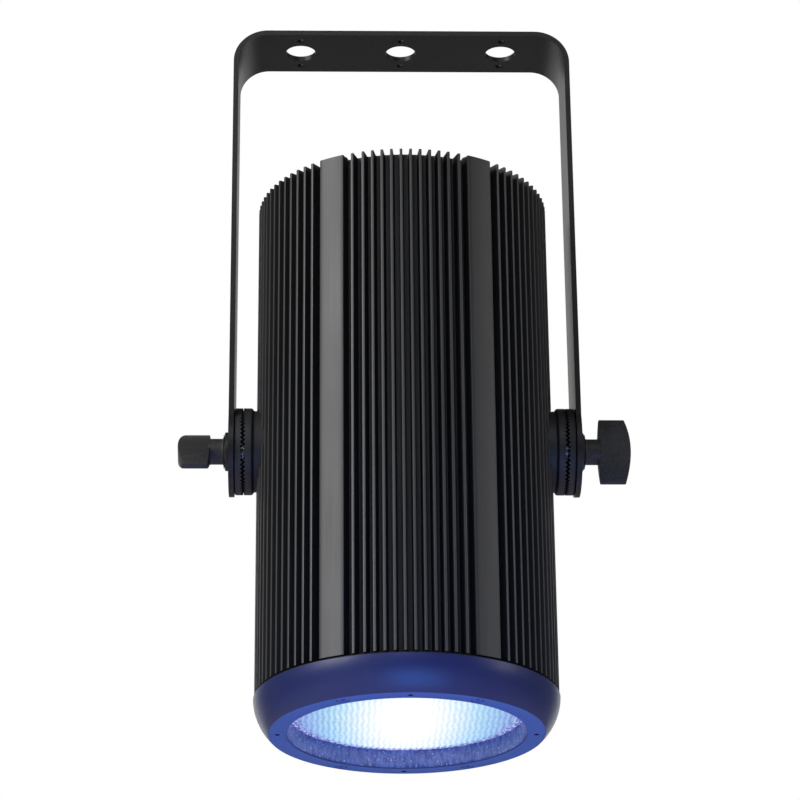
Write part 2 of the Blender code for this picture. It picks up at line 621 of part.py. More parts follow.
# ---------------------------------------------------------------- light engine
def build_light_engine(materials, tilt, retainer_top):
    disc = rod(BORE_RADIUS - 0.4 * MM, SPREADER_BOTTOM, SPREADER_TOP, SEGMENTS_MEDIUM)
    spreader = add_part("heat_spreader", disc, materials["aluminium"], tilt)
    below = SPREADER_BOTTOM - MM
    above = SPREADER_TOP + MM
    tapped = 6.0 * MM
    cuts = [
        moved(drill(SCREW_PORT_LOBE + 0.5 * MM, below, above, SEGMENTS_SCREW),
              polar(SCREW_CIRCLE, angle))
        for angle in RIB_ANGLES
    ]
    for side in (-1, 1):
        lead_hole = drill(M4_HOLE, below, above, SEGMENTS_SCREW)
        cuts.append(moved(lead_hole, (side * LEAD_X, LEAD_Y, 0.0)))
        holder_hole = drill(M3_HOLE, below, SPREADER_BOTTOM + tapped, SEGMENTS_SCREW)
        cuts.append(moved(holder_hole, (0.0, side * LED_HOLDER_SCREW_Y, 0.0)))
        bracket_hole = drill(M3_HOLE, SPREADER_TOP - tapped, above, SEGMENTS_SCREW)
        cuts.append(moved(bracket_hole, (side * BRACKET_SCREW_X, BRACKET_SCREW_Y, 0.0)))
    cut(spreader, cuts)

    board_top = SPREADER_BOTTOM - SEAT_GAP
    board_low = board_top - 1.6 * MM
    board_radius = 19.0 * MM
    add_part("led_board", rod(board_radius, board_low, board_top, SEGMENTS_SMALL),
             materials["ceramic"], tilt)
    emitter_radius = 13.0 * MM
    emitter_high = board_low - SEAT_GAP
    add_part("led_emitter", rod(emitter_radius, emitter_high - 0.8 * MM, emitter_high,
                                SEGMENTS_SMALL), materials["phosphor"], tilt)
    holder_low = board_low - 2.6 * MM
    holder_radius = 27.0 * MM
    seat_radius = board_radius + 0.4 * MM
    window_radius = emitter_radius + 1.5 * MM
    holder = add_part("led_holder", turned([
        (window_radius, holder_low), (holder_radius, holder_low), (holder_radius, board_top),
        (seat_radius, board_top), (seat_radius, board_low - SEAT_GAP),
        (window_radius, board_low - SEAT_GAP)], SEGMENTS_MEDIUM), materials["plastic"], tilt)
    cut(holder, [
        moved(drill(M3_HOLE, holder_low - MM, board_top + MM, SEGMENTS_SCREW), (0.0, y, 0.0))
        for y in (-LED_HOLDER_SCREW_Y, LED_HOLDER_SCREW_Y)
    ])
    head_radius = 2.6 * MM
    head_high = holder_low - SEAT_GAP
    head_low = head_high - 1.6 * MM
    shank_top = SPREADER_BOTTOM + tapped - MM
    for label, y in (("front", -LED_HOLDER_SCREW_Y), ("back", LED_HOLDER_SCREW_Y)):
        screw = turned([(0.0, head_low), (head_radius, head_low), (head_radius, head_high),
                        (M3_SHANK, head_high), (M3_SHANK, shank_top), (0.0, shank_top)],
                       SEGMENTS_SCREW)
        add_part(f"holder_screw_{label}", screw, materials["steel"], tilt, (0.0, y, 0.0))

    low = retainer_top + SEAT_GAP
    wall = 1.0 * MM
    rim_top = low + wall
    rim_radius = 53.6 * MM
    throat = holder_low - 2.6 * MM
    throat_radius = 18.0 * MM
    mouth_radius = 50.5 * MM
    depth = throat - rim_top
    inner = []
    outer = []
    steps = 4
    for i in range(steps + 1):
        radius = throat_radius + (mouth_radius - throat_radius) * i / steps
        share = (radius ** 2 - throat_radius ** 2) / (mouth_radius ** 2 - throat_radius ** 2)
        inner.append((radius, throat - depth * share))
        outer.append((radius + wall, throat - depth * share))
    outline = inner[:-1] + [(mouth_radius, low), (rim_radius, low), (rim_radius, rim_top)]
    outline += reversed(outer)
    add_part("reflector", turned(outline, SEGMENTS_MEDIUM), materials["mirror"], tilt)


def build_wire(name, material, tilt, side):
    """An insulated lead from the driver down through the spreader to the LED board."""
    x = side * LEAD_X / MM
    y = LEAD_Y / MM
    route = [
        (x * 0.60, 12.4, -24.0), (x * 0.60, 12.4, -29.0), (x * 0.65, 12.9, -34.0),
        (x * 0.78, 14.9, -39.0), (x * 0.90, 17.6, -43.5), (x * 0.98, 19.5, -48.0),
        (x, y, -52.0), (x, y, -56.0), (x, y, -60.5), (x * 0.985, 19.7, -62.8),
        (x * 0.960, 19.2, -64.8),
    ]
    curve = bpy.data.curves.new(name, "CURVE")
    curve.dimensions = "3D"
    curve.bevel_depth = 1.1 * MM
    curve.bevel_resolution = 1
    curve.use_fill_caps = True
    spline = curve.splines.new("POLY")
    spline.points.add(len(route) - 1)
    for point, place in zip(spline.points, route):
        point.co = (place[0] * MM, place[1] * MM, place[2] * MM, 1.0)
    curve.materials.append(material)
    wire = bpy.data.objects.new(name, curve)
    bpy.context.scene.collection.objects.link(wire)
    wire.parent = tilt
    return wire


# ---------------------------------------------------------------- driver
def build_driver(materials, tilt):
    plate_y = DRIVER_PLATE_Y
    thickness = 1.5 * MM
    foot_z = SPREADER_TOP + SEAT_GAP
    width = 72.0 * MM
    foot = 16.0 * MM
    height = 132.0 * MM
    profile = [
        (plate_y, foot_z), (plate_y + foot, foot_z), (plate_y + foot, foot_z + thickness),
        (plate_y + thickness, foot_z + thickness), (plate_y + thickness, foot_z + height),
        (plate_y, foot_z + height),
    ]
    bm = prism([profile], -width / 2, width / 2)
    to_upright = Matrix(((0, 0, 1, 0), (1, 0, 0, 0), (0, 1, 0, 0), (0, 0, 0, 1)))
    bmesh.ops.transform(bm, matrix=to_upright, verts=bm.verts)
    bracket = add_part("driver_bracket", bm, materials["steel"], tilt)
    cut(bracket, [
        moved(drill(M3_HOLE, foot_z - MM, foot_z + 2 * thickness, SEGMENTS_SCREW),
              (x, BRACKET_SCREW_Y, 0.0))
        for x in (-BRACKET_SCREW_X, BRACKET_SCREW_X)
    ])
    shank_end = foot_z - 5.0 * MM
    head_radius = 2.8 * MM
    head_low = foot_z + thickness + SEAT_GAP
    head_high = head_low + 2.0 * MM
    for label, x in (("left", -BRACKET_SCREW_X), ("right", BRACKET_SCREW_X)):
        screw = turned([(0.0, shank_end), (M3_SHANK, shank_end), (M3_SHANK, head_low),
                        (head_radius, head_low), (head_radius, head_high), (0.0, head_high)],
                       SEGMENTS_SCREW)
        add_part(f"bracket_screw_{label}", screw, materials["steel"], tilt,
                 (x, BRACKET_SCREW_Y, 0.0))

    board_thickness = 1.6 * MM
    board_back = plate_y - 6.0 * MM
    board_low = -30.0 * MM
    board_high = 70.0 * MM
    board = block((68 * MM, board_thickness, board_high - board_low),
                  (0.0, board_back - board_thickness / 2, (board_low + board_high) / 2))
    add_part("driver_board", board, materials["board"], tilt)
    rail_depth = plate_y - board_back - 2 * SEAT_GAP
    rail_y = plate_y - SEAT_GAP - rail_depth / 2
    for label, x in (("left", -27 * MM), ("right", 27 * MM)):
        rail = block((6 * MM, rail_depth, 96 * MM), (x, rail_y, 14 * MM), 0.6 * MM)
        add_part(f"board_rail_{label}", rail, materials["plastic"], tilt)

    front = board_back - board_thickness - SEAT_GAP
    blocks = (  # name, material, size, place across and up the board, bevel
        ("transformer", "winding", (34 * MM, 28 * MM, 36 * MM), (10 * MM, 22 * MM), 2 * MM),
        ("filter_choke", "component", (20 * MM, 18 * MM, 18 * MM), (-19 * MM, -4 * MM), 3 * MM),
        ("terminal_block", "ceramic", (28 * MM, 12 * MM, 9 * MM), (0.0, 62 * MM), 0.8 * MM),
    )
    for name, material, size, (x, z), bevel in blocks:
        body = block(size, (x, front - size[1] / 2, z), bevel)
        add_part(name, body, materials[material], tilt)
    can_radius = 9 * MM
    can = rod(can_radius, -16 * MM, 16 * MM, SEGMENTS_SMALL)
    add_part("bulk_capacitor", moved(can, (-19 * MM, front - can_radius - SEAT_GAP, 30 * MM)),
             materials["component"], tilt)
    build_wire("led_lead_red", materials["red_wire"], tilt, 1)
    build_wire("led_lead_black", materials["black_wire"], tilt, -1)


# ---------------------------------------------------------------- rear end
def build_rear(materials, tilt):
    gasket_low = HEATSINK_TOP + SEAT_GAP
    gasket_high = gasket_low + 0.7 * MM
    gasket = add_part("rear_gasket", tube(54.8 * MM, COVER_RADIUS - SEAT_GAP, gasket_low,
                                          gasket_high, SEGMENTS_DISC), materials["rubber"], tilt)
    screw_places = [polar(SCREW_CIRCLE, angle) for angle in RIB_ANGLES]
    join(gasket, [
        moved(drill(COVER_LUG_RADIUS, gasket_low, gasket_high, SEGMENTS_SMALL), place)
        for place in screw_places
    ])
    cut(gasket, [
        moved(drill(M4_HOLE, gasket_low - MM, gasket_high + MM, SEGMENTS_SCREW), place)
        for place in screw_places
    ])

    low = gasket_high + SEAT_GAP
    seat = low + MM
    crown = low + 6.0 * MM
    cover = add_part("rear_cover", turned([
        (0.0, low), (COVER_RADIUS, low), (COVER_RADIUS, low + SEAT_GAP),
        (COVER_CROWN_RADIUS, crown), (0.0, crown)], SEGMENTS_LARGE), materials["powder"], tilt)
    join(cover, [
        moved(drill(COVER_LUG_RADIUS, low, seat + SEAT_GAP, SEGMENTS_SMALL), place)
        for place in screw_places
    ])
    holes = []
    for place in screw_places:
        spotface = drill(COVER_LUG_RADIUS + SEAT_GAP, seat, crown + MM, SEGMENTS_SMALL)
        hole = drill(M3_HOLE, low - MM, crown, SEGMENTS_SCREW)
        holes += [moved(spotface, place), moved(hole, place)]
    vent_place = (0.0, VENT_Y, 0.0)
    for place, radius, count in (((GLAND_X, GLAND_Y, 0.0), GLAND_HOLE_RADIUS, SEGMENTS_SMALL),
                                 ((EYE_X, EYE_Y, 0.0), EYE_HOLE_RADIUS, SEGMENTS_SCREW),
                                 (vent_place, VENT_HOLE_RADIUS, SEGMENTS_SCREW)):
        holes.append(moved(drill(radius, low - MM, crown + MM, count), place))
    cut(cover, holes)
    for index, angle in enumerate(RIB_ANGLES, 1):
        head_low = seat + SEAT_GAP
        shank_end = HEATSINK_TOP - 10.0 * MM
        head_radius = 2.9 * MM
        head_edge = head_low + 1.1 * MM
        head_top = head_low + 1.8 * MM
        screw = turned([(0.0, shank_end), (M3_SHANK, shank_end), (M3_SHANK, head_low),
                        (head_radius, head_low), (head_radius, head_edge),
                        (2.0 * MM, head_top), (0.0, head_top)], SEGMENTS_SCREW)
        add_part(f"cover_screw_{index}", screw, materials["black_steel"], tilt,
                 polar(SCREW_CIRCLE, angle))

    stem = VENT_HOLE_RADIUS - 0.4 * MM
    stem_end = low - 3.0 * MM
    cap_radius = 6.5 * MM
    cap_top = crown + 3.6 * MM
    vent = turned([(0.0, stem_end), (stem, stem_end), (stem, crown + SEAT_GAP),
                   (cap_radius, crown + SEAT_GAP), (cap_radius, cap_top - MM),
                   (cap_radius - 1.2 * MM, cap_top), (0.0, cap_top)], SEGMENTS_SMALL)
    add_part("vent_plug", vent, materials["plastic"], tilt, vent_place)
    build_gland(materials, tilt, low, crown)
    build_eye(materials, tilt, low, crown)


def hexagon(across_flats, bore, low, high):
    corner = across_flats / math.sqrt(3)
    return prism([circle_points(corner, 6), circle_points(bore, SEGMENTS_SMALL)], low, high)


def build_gland(materials, tilt, cover_low, cover_top):
    place = (GLAND_X, GLAND_Y, 0.0)
    cable_radius = 4.2 * MM
    bore = 5.8 * MM
    thread = GLAND_HOLE_RADIUS - 0.4 * MM
    nut_bore = thread + 0.35 * MM
    collar = 11.0 * MM
    collar_low = cover_top + SEAT_GAP
    collar_high = collar_low + 5.0 * MM
    body_top = collar_high + 9.0 * MM
    body_low = cover_low - 8.0 * MM
    body = turned([
        (bore, body_low), (thread, body_low), (thread, collar_low), (collar, collar_low),
        (collar, collar_high), (thread, collar_high), (thread, body_top), (bore, body_top)],
        SEGMENTS_SMALL)
    add_part("gland_body", body, materials["plastic"], tilt, place)
    nut_high = cover_low - SEAT_GAP
    nut = hexagon(2 * collar, GLAND_HOLE_RADIUS, nut_high - 4.5 * MM, nut_high)
    add_part("gland_locknut", nut, materials["plastic"], tilt, place)
    cap_radius = 10.6 * MM
    cap_low = collar_high + SEAT_GAP
    cap_top = body_top + 5.0 * MM
    cap_floor = body_top + 1.2 * MM
    cap = turned([
        (nut_bore, cap_low), (cap_radius, cap_low), (cap_radius, cap_top - 5.0 * MM),
        (cap_radius - 1.2 * MM, cap_top - 2.0 * MM), (6.8 * MM, cap_top),
        (cable_radius, cap_top), (cable_radius, cap_floor), (nut_bore, cap_floor)],
        SEGMENTS_SMALL)
    add_part("gland_nut", cap, materials["plastic"], tilt, place)
    seal = tube(cable_radius - 0.1 * MM, bore - SEAT_GAP, body_top - 10.0 * MM,
                body_top + 0.8 * MM, SEGMENTS_SMALL)
    add_part("gland_seal", seal, materials["rubber"], tilt, place)


def build_eye(materials, tilt, cover_low, cover_top):
    """A ring bolt for the safety wire: a round ring on a collar and a threaded shank."""
    ring_radius = 9.0 * MM
    wire_radius = 2.5 * MM
    collar = 6.0 * MM
    shank_radius = EYE_HOLE_RADIUS - 0.4 * MM
    shank_end = cover_low - 8.0 * MM
    collar_low = cover_top + SEAT_GAP
    collar_high = collar_low + 2.5 * MM
    centre = collar_high + ring_radius + MM
    shank = turned([(0.0, shank_end), (shank_radius, shank_end), (shank_radius, collar_low),
                    (collar, collar_low), (collar, collar_high), (0.0, collar_high)],
                   SEGMENTS_SMALL)
    eye = add_part("safety_eye", shank, materials["steel"], tilt, (EYE_X, EYE_Y, 0.0))
    ring = turned([
        (ring_radius + wire_radius * math.cos(math.tau * k / 8),
         wire_radius * math.sin(math.tau * k / 8)) for k in range(8)], SEGMENTS_RING, HOLE_PHASE)
    bmesh.ops.transform(ring, matrix=Matrix.Rotation(math.pi / 2, 4, "X"), verts=ring.verts)
    join(eye, [moved(ring, (0.0, 0.0, centre))])


# ---------------------------------------------------------------- clamping knobs
def wing():
    """The knob's grip, long axis on Z: thick in the middle, thin at both ends."""
    bm = bmesh.new()
    stations = 8
    corner = 1.3 * MM
    rings = []
    for i in range(stations + 1):
        along = 2 * i / stations - 1
        z = along * KNOB_LENGTH / 2
        half = (KNOB_END_THICKNESS + (KNOB_MIDDLE_THICKNESS - KNOB_END_THICKNESS)
                * (1 - along ** 2)) / 2
        inner = KNOB_INNER_BOW * along ** 2
        outer = KNOB_OUTER_X - KNOB_INNER_X - KNOB_END_PULLBACK * along ** 2
        section = [
            (inner, -half), (outer - corner, -half), (outer, -half + corner),
            (outer, half - corner), (outer - corner, half), (inner, half),
        ]
        rings.append([bm.verts.new((x, y, z)) for x, y in section])
    for ring, following in zip(rings, rings[1:]):
        for k in range(len(ring)):
            n = (k + 1) % len(ring)
            bm.faces.new((ring[k], ring[n], following[n], following[k]))
    bm.faces.new(rings[0])
    bm.faces.new(rings[-1])
    bmesh.ops.recalc_face_normals(bm, faces=bm.faces)
    return bm


def build_knobs(materials, tilt):
    leg_outside = YOKE_WIDTH / 2
    washer_low = leg_outside + SEAT_GAP
    washer_high = washer_low + WASHER_THICKNESS
    shoulder = washer_high + SEAT_GAP
    for label, side, turn in (("left", -1, LEFT_KNOB_TURN), ("right", 1, RIGHT_KNOB_TURN)):
        hub = add_empty(f"knob_axis_{label}", (side * leg_outside, 0.0, 0.0), tilt)
        hub.rotation_euler = (math.radians(turn), 0.0, 0.0 if side > 0 else math.pi)
        inward = -leg_outside
        knob = add_part(f"knob_{label}", moved(wing(), (KNOB_INNER_X + inward, 0.0, 0.0)),
                        materials["knob"], hub)
        stem = turned([
            (0.0, shoulder + inward), (8.2 * MM, shoulder + inward),
            (KNOB_SHAFT_RADIUS, shoulder + inward + 1.3 * MM),
            (KNOB_SHAFT_RADIUS, KNOB_INNER_X + inward + MM), (0.0, KNOB_INNER_X + inward + MM)],
            20)
        join(knob, [along_x(stem)])
        bore_end = KNOB_INNER_X + inward + 4.0 * MM
        cut(knob, [along_x(drill(STUD_HOLE_RADIUS, -MM, bore_end, SEGMENTS_SMALL))])
        stud_end = HUB_SEAT_X + 1.6 * MM + inward
        add_part(f"knob_stud_{label}",
                 along_x(rod(STUD_RADIUS, stud_end, bore_end - SEAT_GAP, SEGMENTS_SMALL)),
                 materials["steel"], hub)
        add_part(f"knob_washer_{label}",
                 along_x(tube(STUD_HOLE_RADIUS, WASHER_RADIUS, washer_low + inward,
                              washer_high + inward, SEGMENTS_RING)), materials["black_steel"], hub)


# ---------------------------------------------------------------- build
def main():
    for leftover in list(bpy.data.objects):
        bpy.data.objects.remove(leftover)
    materials = make_materials()
    tilt = add_empty("tilt_axis", (0.0, 0.0, PIVOT_Z))
    build_yoke(materials)
    build_rosettes(materials, tilt)
    build_heatsink(materials, tilt)
    retainer_top = build_front(materials, tilt)
    build_light_engine(materials, tilt, retainer_top)
    build_driver(materials, tilt)
    build_rear(materials, tilt)
    build_knobs(materials, tilt)


main()
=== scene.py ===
"""Looks of the par can light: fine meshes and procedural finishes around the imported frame.

Frame: +Z up, metres, origin at the centre of the yoke bar's top face. Everything on the lamp
is built relative to the tilt axis and placed there, so its Z values are heights from it.
"""

import math

import bmesh
import bpy
from mathutils import Matrix, Vector


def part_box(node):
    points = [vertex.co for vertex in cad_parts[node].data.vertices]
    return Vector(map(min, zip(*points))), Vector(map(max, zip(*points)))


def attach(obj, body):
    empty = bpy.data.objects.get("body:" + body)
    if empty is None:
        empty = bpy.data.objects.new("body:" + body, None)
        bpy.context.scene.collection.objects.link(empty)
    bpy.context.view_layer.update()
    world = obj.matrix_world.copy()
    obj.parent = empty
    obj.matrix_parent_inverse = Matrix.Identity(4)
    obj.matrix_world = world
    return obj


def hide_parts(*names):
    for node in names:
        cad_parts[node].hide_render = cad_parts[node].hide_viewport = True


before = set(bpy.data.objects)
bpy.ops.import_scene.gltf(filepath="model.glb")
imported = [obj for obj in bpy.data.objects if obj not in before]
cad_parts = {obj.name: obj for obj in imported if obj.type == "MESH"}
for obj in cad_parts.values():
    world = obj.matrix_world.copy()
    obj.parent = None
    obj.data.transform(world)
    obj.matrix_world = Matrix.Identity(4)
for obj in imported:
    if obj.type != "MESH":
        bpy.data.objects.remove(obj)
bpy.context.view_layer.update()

MM = 0.001


# ---- sizes taken from the frame
def middle(node):
    low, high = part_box(node)
    return (low + high) / 2


def box_radius(node):
    low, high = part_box(node)
    return (high.x - low.x) / 2


YOKE_LOW, YOKE_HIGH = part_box("yoke")
YOKE_WIDTH = YOKE_HIGH.x - YOKE_LOW.x
YOKE_TOP = YOKE_HIGH.z
PIVOT_Z = middle("knob_stud_right").z
PIVOT = Vector((0.0, 0.0, PIVOT_Z))
HEATSINK_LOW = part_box("heatsink_body")[0].z - PIVOT_Z
HEATSINK_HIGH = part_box("heatsink_body")[1].z - PIVOT_Z
BEZEL_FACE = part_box("front_bezel")[0].z - PIVOT_Z
BEZEL_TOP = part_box("front_bezel")[1].z - PIVOT_Z
COVER_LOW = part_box("rear_cover")[0].z - PIVOT_Z
COVER_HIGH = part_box("rear_cover")[1].z - PIVOT_Z
GLAND_PLACE = middle("gland_nut")
EYE_PLACE = middle("safety_eye")
VENT_PLACE = middle("vent_plug")

# the same driving sizes as the part's own design
YOKE_STRAP = 37.0 * MM
YOKE_THICKNESS = 2.5 * MM
YOKE_BEND_RADIUS = 17.0 * MM
YOKE_BEND_STEPS = 20
YOKE_HOLE_REACH = 10.0 * MM
YOKE_EAR_RADIUS = 21.6 * MM
HANGING_HOLE_PITCH = 50.0 * MM
HANGING_HOLE_RADIUS = 7.5 * MM
LOCATING_HOLE_RADIUS = 1.7 * MM
LOCATING_HOLE_OFFSET = 12.3 * MM
STUD_HOLE_RADIUS = 4.3 * MM

FIN_TIP_RADIUS = 70.0 * MM
FIN_ROOT_RADIUS = 64.0 * MM
FIN_THICKNESS = 1.3 * MM
FIN_PAINTED_HIGHLIGHT_BAND = 0.3 * MM        # how much of a fin's outer edge is painted paler, as a painted highlight on its tip
BORE_RADIUS = 60.0 * MM
FRONT_FINS = 12
SIDE_FINS = 27
# degrees round the body, from its front
RIB_ANGLES = (30.0, 150.0, 210.0, 330.0)
RIB_HALF_WIDTH = 5.2
FRONT_FIN_PITCH = 3.73
FRONT_EDGE_FIN_SHIFT = 0.63
SIDE_FIN_FIRST = 38.98
SCREW_CIRCLE = 59.5 * MM
SCREW_PORT_LOBE = 5.0 * MM
SCREW_PORT_RADIUS = 1.8 * MM

BEZEL_RADIUS = 70.5 * MM
BEZEL_SIDE_ARC = 23.5 * MM
BEZEL_ARC_CENTRE = -122.5 * MM
APERTURE_RADIUS = 54.9 * MM
RECESS_RADIUS = 54.0 * MM
COUNTERSINK_DEPTH = 1.25 * MM
BEZEL_SCREW_LENGTH = 35.0 * MM
LENS_SEAT = -129.9 * MM
LENS_POCKET_RADIUS = 56.9 * MM
RETAINER_POCKET_RADIUS = 62.6 * MM
RETAINER_FLOOR = -126.3 * MM
RETAINER_SCREW_ANGLES = (0.0, 90.0, 180.0, 270.0)
RETAINER_SCREW_CIRCLE = 59.2 * MM
LENS_CROWN = 4.0 * MM
LENS_RELIEF = 0.34 * MM
LENS_FLUTE_PITCH = 2.6 * MM
LENS_WAVE = 0.3 * MM
LENS_WAVE_PITCH = 2.4 * MM
LENS_CORE_LENGTH = 150.0       # millimetres: the bright core runs front to back
LENS_BRIGHTNESS = 0.95

ROSETTE_RADIUS = 20.6 * MM
ROSETTE_TEETH = 60
SAMPLES_PER_TOOTH = 6
ROSETTE_TOOTH_HEIGHT = 1.2 * MM
ROSETTE_TOOTH_INNER = 15.0 * MM
ROSETTE_SEAM_X = 76.2 * MM
ROSETTE_DISC_BACK_X = 71.6 * MM
HUB_RADIUS = 19.3 * MM
HUB_SEAT_X = 62.5 * MM
HUB_POCKET_RADIUS = 19.9 * MM
ROSETTE_SCREW_OFFSET = 11.5 * MM

KNOB_LENGTH = 32.2 * MM
KNOB_INNER_X = 91.9 * MM
KNOB_OUTER_X = 107.3 * MM
KNOB_END_PULLBACK = 2.5 * MM
KNOB_INNER_BOW = 0.7 * MM
KNOB_MIDDLE_THICKNESS = 9.0 * MM
KNOB_END_THICKNESS = 2.6 * MM
KNOB_SHAFT_RADIUS = 6.15 * MM
KNOB_WASHER_RADIUS = 9.2 * MM
KNOB_WASHER_THICKNESS = 1.7 * MM
KNOB_TURNS = {"left": 43.0, "right": 0.0}    # degrees from upright

COVER_CROWN_RADIUS = 49.6 * MM
COVER_LUG_RADIUS = 3.6 * MM

SEAT_GAP = 0.3 * MM
EDGE = 0.35 * MM               # edge break on machined and pressed pieces

# camera, measured from the tilt axis
CAMERA_FROM_PIVOT = Vector((-39.1, -1344.13, -548.95)) * MM
CAMERA_YAW = 1.587             # degrees towards +X
CAMERA_PITCH = 23.181
CAMERA_ROLL = -0.526
CAMERA_LENS = 137.754          # mm on a 36 mm sensor
FLOOR_BELOW_CAMERA = 0.35      # metres
FLOOR_RADIUS = 9.0             # metres
FLOOR_LIFT = 0.55              # glow that only the camera sees
WORLD_FILL = 0.115

# each softbox's name, size in metres, watts, colour and place from the lamp's middle
SOFTBOXES = (
    ("key_softbox", (0.9, 1.5), 27.5, (1.0, 1.0, 1.0), (-1.45, -1.0, 0.75)),
    ("front_strip", (0.25, 1.2), 5.0, (0.96, 0.98, 1.0), (-0.15, -1.9, 0.9)),
    ("right_fill", (0.5, 1.2), 6.2, (1.0, 1.0, 1.0), (1.8, -0.6, 0.45)),
    ("back_panel", (2.4, 2.0), 8.0, (1.0, 0.97, 0.93), (0.0, 2.0, 0.8)),
    ("rear_left_softbox", (0.9, 1.5), 3.0, (1.0, 1.0, 1.0), (-0.9, 2.0, 0.5)),
    ("rear_right_softbox", (0.9, 1.5), 3.0, (1.0, 1.0, 1.0), (0.9, 2.0, 0.5)),
)


# ---- material nodes
def node(tree, kind, inputs=None, **settings):
    """A shader node with its settings. Each input is given as a value or as a socket to link."""
    made = tree.nodes.new("ShaderNode" + kind)
    for name, value in settings.items():
        setattr(made, name, value)
    for name, value in (inputs or {}).items():
        socket = made.inputs[name]
        if isinstance(value, bpy.types.NodeSocket):
            tree.links.new(value, socket)
        else:
            socket.default_value = value
    return made


def maths(tree, operation, *values):
    """The result of a Math node on values or sockets."""
    return node(tree, "Math", dict(enumerate(values)), operation=operation).outputs[0]


def new_material(name, metallic, specular=0.5, coat=0.0, coat_roughness=0.1, sheen=0.0):
    material = bpy.data.materials.new(name)
    material.use_nodes = True
    shader = material.node_tree.nodes["Principled BSDF"]
    shader.inputs["Metallic"].default_value = metallic
    shader.inputs["Specular IOR Level"].default_value = specular
    shader.inputs["Coat Weight"].default_value = coat
    shader.inputs["Coat Roughness"].default_value = coat_roughness
    shader.inputs["Sheen Weight"].default_value = sheen
    return material, material.node_tree, shader


def place(tree, stretch=(1.0, 1.0, 1.0)):
    """Position on the piece in millimetres, stretched along each axis."""
    coords = node(tree, "TexCoord")
    scale = tuple(s / MM for s in stretch)
    mapping = node(tree, "Mapping", {"Vector": coords.outputs["Object"], "Scale": scale})
    return mapping.outputs["Vector"]


def noise(tree, vector, size, detail=3.0, rough=0.55):
    """Noise whose features are about size millimetres across."""
    made = node(tree, "TexNoise", {
        "Vector": vector, "Scale": 1.0 / size, "Detail": detail, "Roughness": rough})
    return made.outputs["Fac"]


def remap(tree, value, low, high, start=0.3, end=0.7):
    made = node(tree, "MapRange", {
        "Value": value, "From Min": start, "From Max": end, "To Min": low, "To Max": high})
    return made.outputs["Result"]


def blend_colours(tree, factor, first, second):
    made = node(tree, "Mix", data_type="RGBA")
    tree.links.new(factor, made.inputs[0])
    for index, colour in ((6, first), (7, second)):    # the node's inputs and output for colours
        if isinstance(colour, bpy.types.NodeSocket):
            tree.links.new(colour, made.inputs[index])
        else:
            made.inputs[index].default_value = (*colour, 1.0)
    return made.outputs[2]


def paint(tree, shader, patches, colours, gloss, *reach):
    """Base colour from patches of two colours, and roughness from gloss mapped to its reach."""
    tint = blend_colours(tree, remap(tree, patches, 0.0, 1.0), *colours)
    tree.links.new(tint, shader.inputs["Base Color"])
    tree.links.new(remap(tree, gloss, *reach), shader.inputs["Roughness"])


def bump(tree, shader, height, depth, under=None):
    """Surface relief of depth millimetres, on top of any relief already there."""
    inputs = {"Height": height, "Distance": depth * MM, "Strength": 1.0}
    if under is not None:
        inputs["Normal"] = under
    made = node(tree, "Bump", inputs)
    tree.links.new(made.outputs["Normal"], shader.inputs["Normal"])
    return made.outputs["Normal"]


def finish(name, colours, roughness, metallic, grain, depth, patch=18.0,
           stretch=(1.0, 1.0, 1.0)):
    """A finish with slow colour patches, uneven gloss and a fine grain in relief."""
    material, tree, shader = new_material(name, metallic)
    vector = place(tree, stretch)
    patches = noise(tree, vector, patch)
    fine = noise(tree, vector, grain, 2.0)
    uneven = maths(tree, "ADD", patches, fine)
    paint(tree, shader, patches, colours, uneven, *roughness, 0.7, 1.3)
    bump(tree, shader, fine, depth)
    return material


def anodised_extrusion(name, specular, colours):
    """Black anodised aluminium with faint die lines along the extrusion and a matte bead grain."""
    material, tree, shader = new_material(name, 0.0, specular)
    lines = noise(tree, place(tree, (1.0, 1.0, 0.004)), 0.35, 2.0)
    grain = noise(tree, place(tree), 0.22, 2.0)
    patches = noise(tree, place(tree, (1.0, 1.0, 0.3)), 22.0, 3.0)
    uneven = maths(tree, "ADD", lines, patches)
    paint(tree, shader, patches, colours, uneven, 0.46, 0.56, 0.7, 1.3)
    first = bump(tree, shader, lines, 0.01)
    bump(tree, shader, grain, 0.012, under=first)
    return material


def powder_coat(name, depth=0.03):
    """Black powder coat: a soft orange peel under a fine grain."""
    material, tree, shader = new_material(name, 0.0, 0.38)
    vector = place(tree)
    peel = noise(tree, vector, 1.6, 2.0)
    grain = noise(tree, vector, 0.3, 2.0)
    patches = noise(tree, vector, 25.0)
    colours = ((0.0095, 0.0095, 0.01), (0.0125, 0.0125, 0.013))
    paint(tree, shader, patches, colours, grain, 0.36, 0.5)
    first = bump(tree, shader, peel, depth)
    bump(tree, shader, grain, depth / 3, under=first)
    return material


def satin_blue(name, roughness, sheen, colours):
    """Blue satin paint over a cast ring, with a little orange peel."""
    material, tree, shader = new_material(name, 0.0, 0.5, 0.15, 0.25, sheen)
    vector = place(tree)
    peel = noise(tree, vector, 1.2, 2.0)
    patches = noise(tree, vector, 30.0)
    paint(tree, shader, patches, colours, peel, *roughness)
    bump(tree, shader, peel, 0.012)
    return material


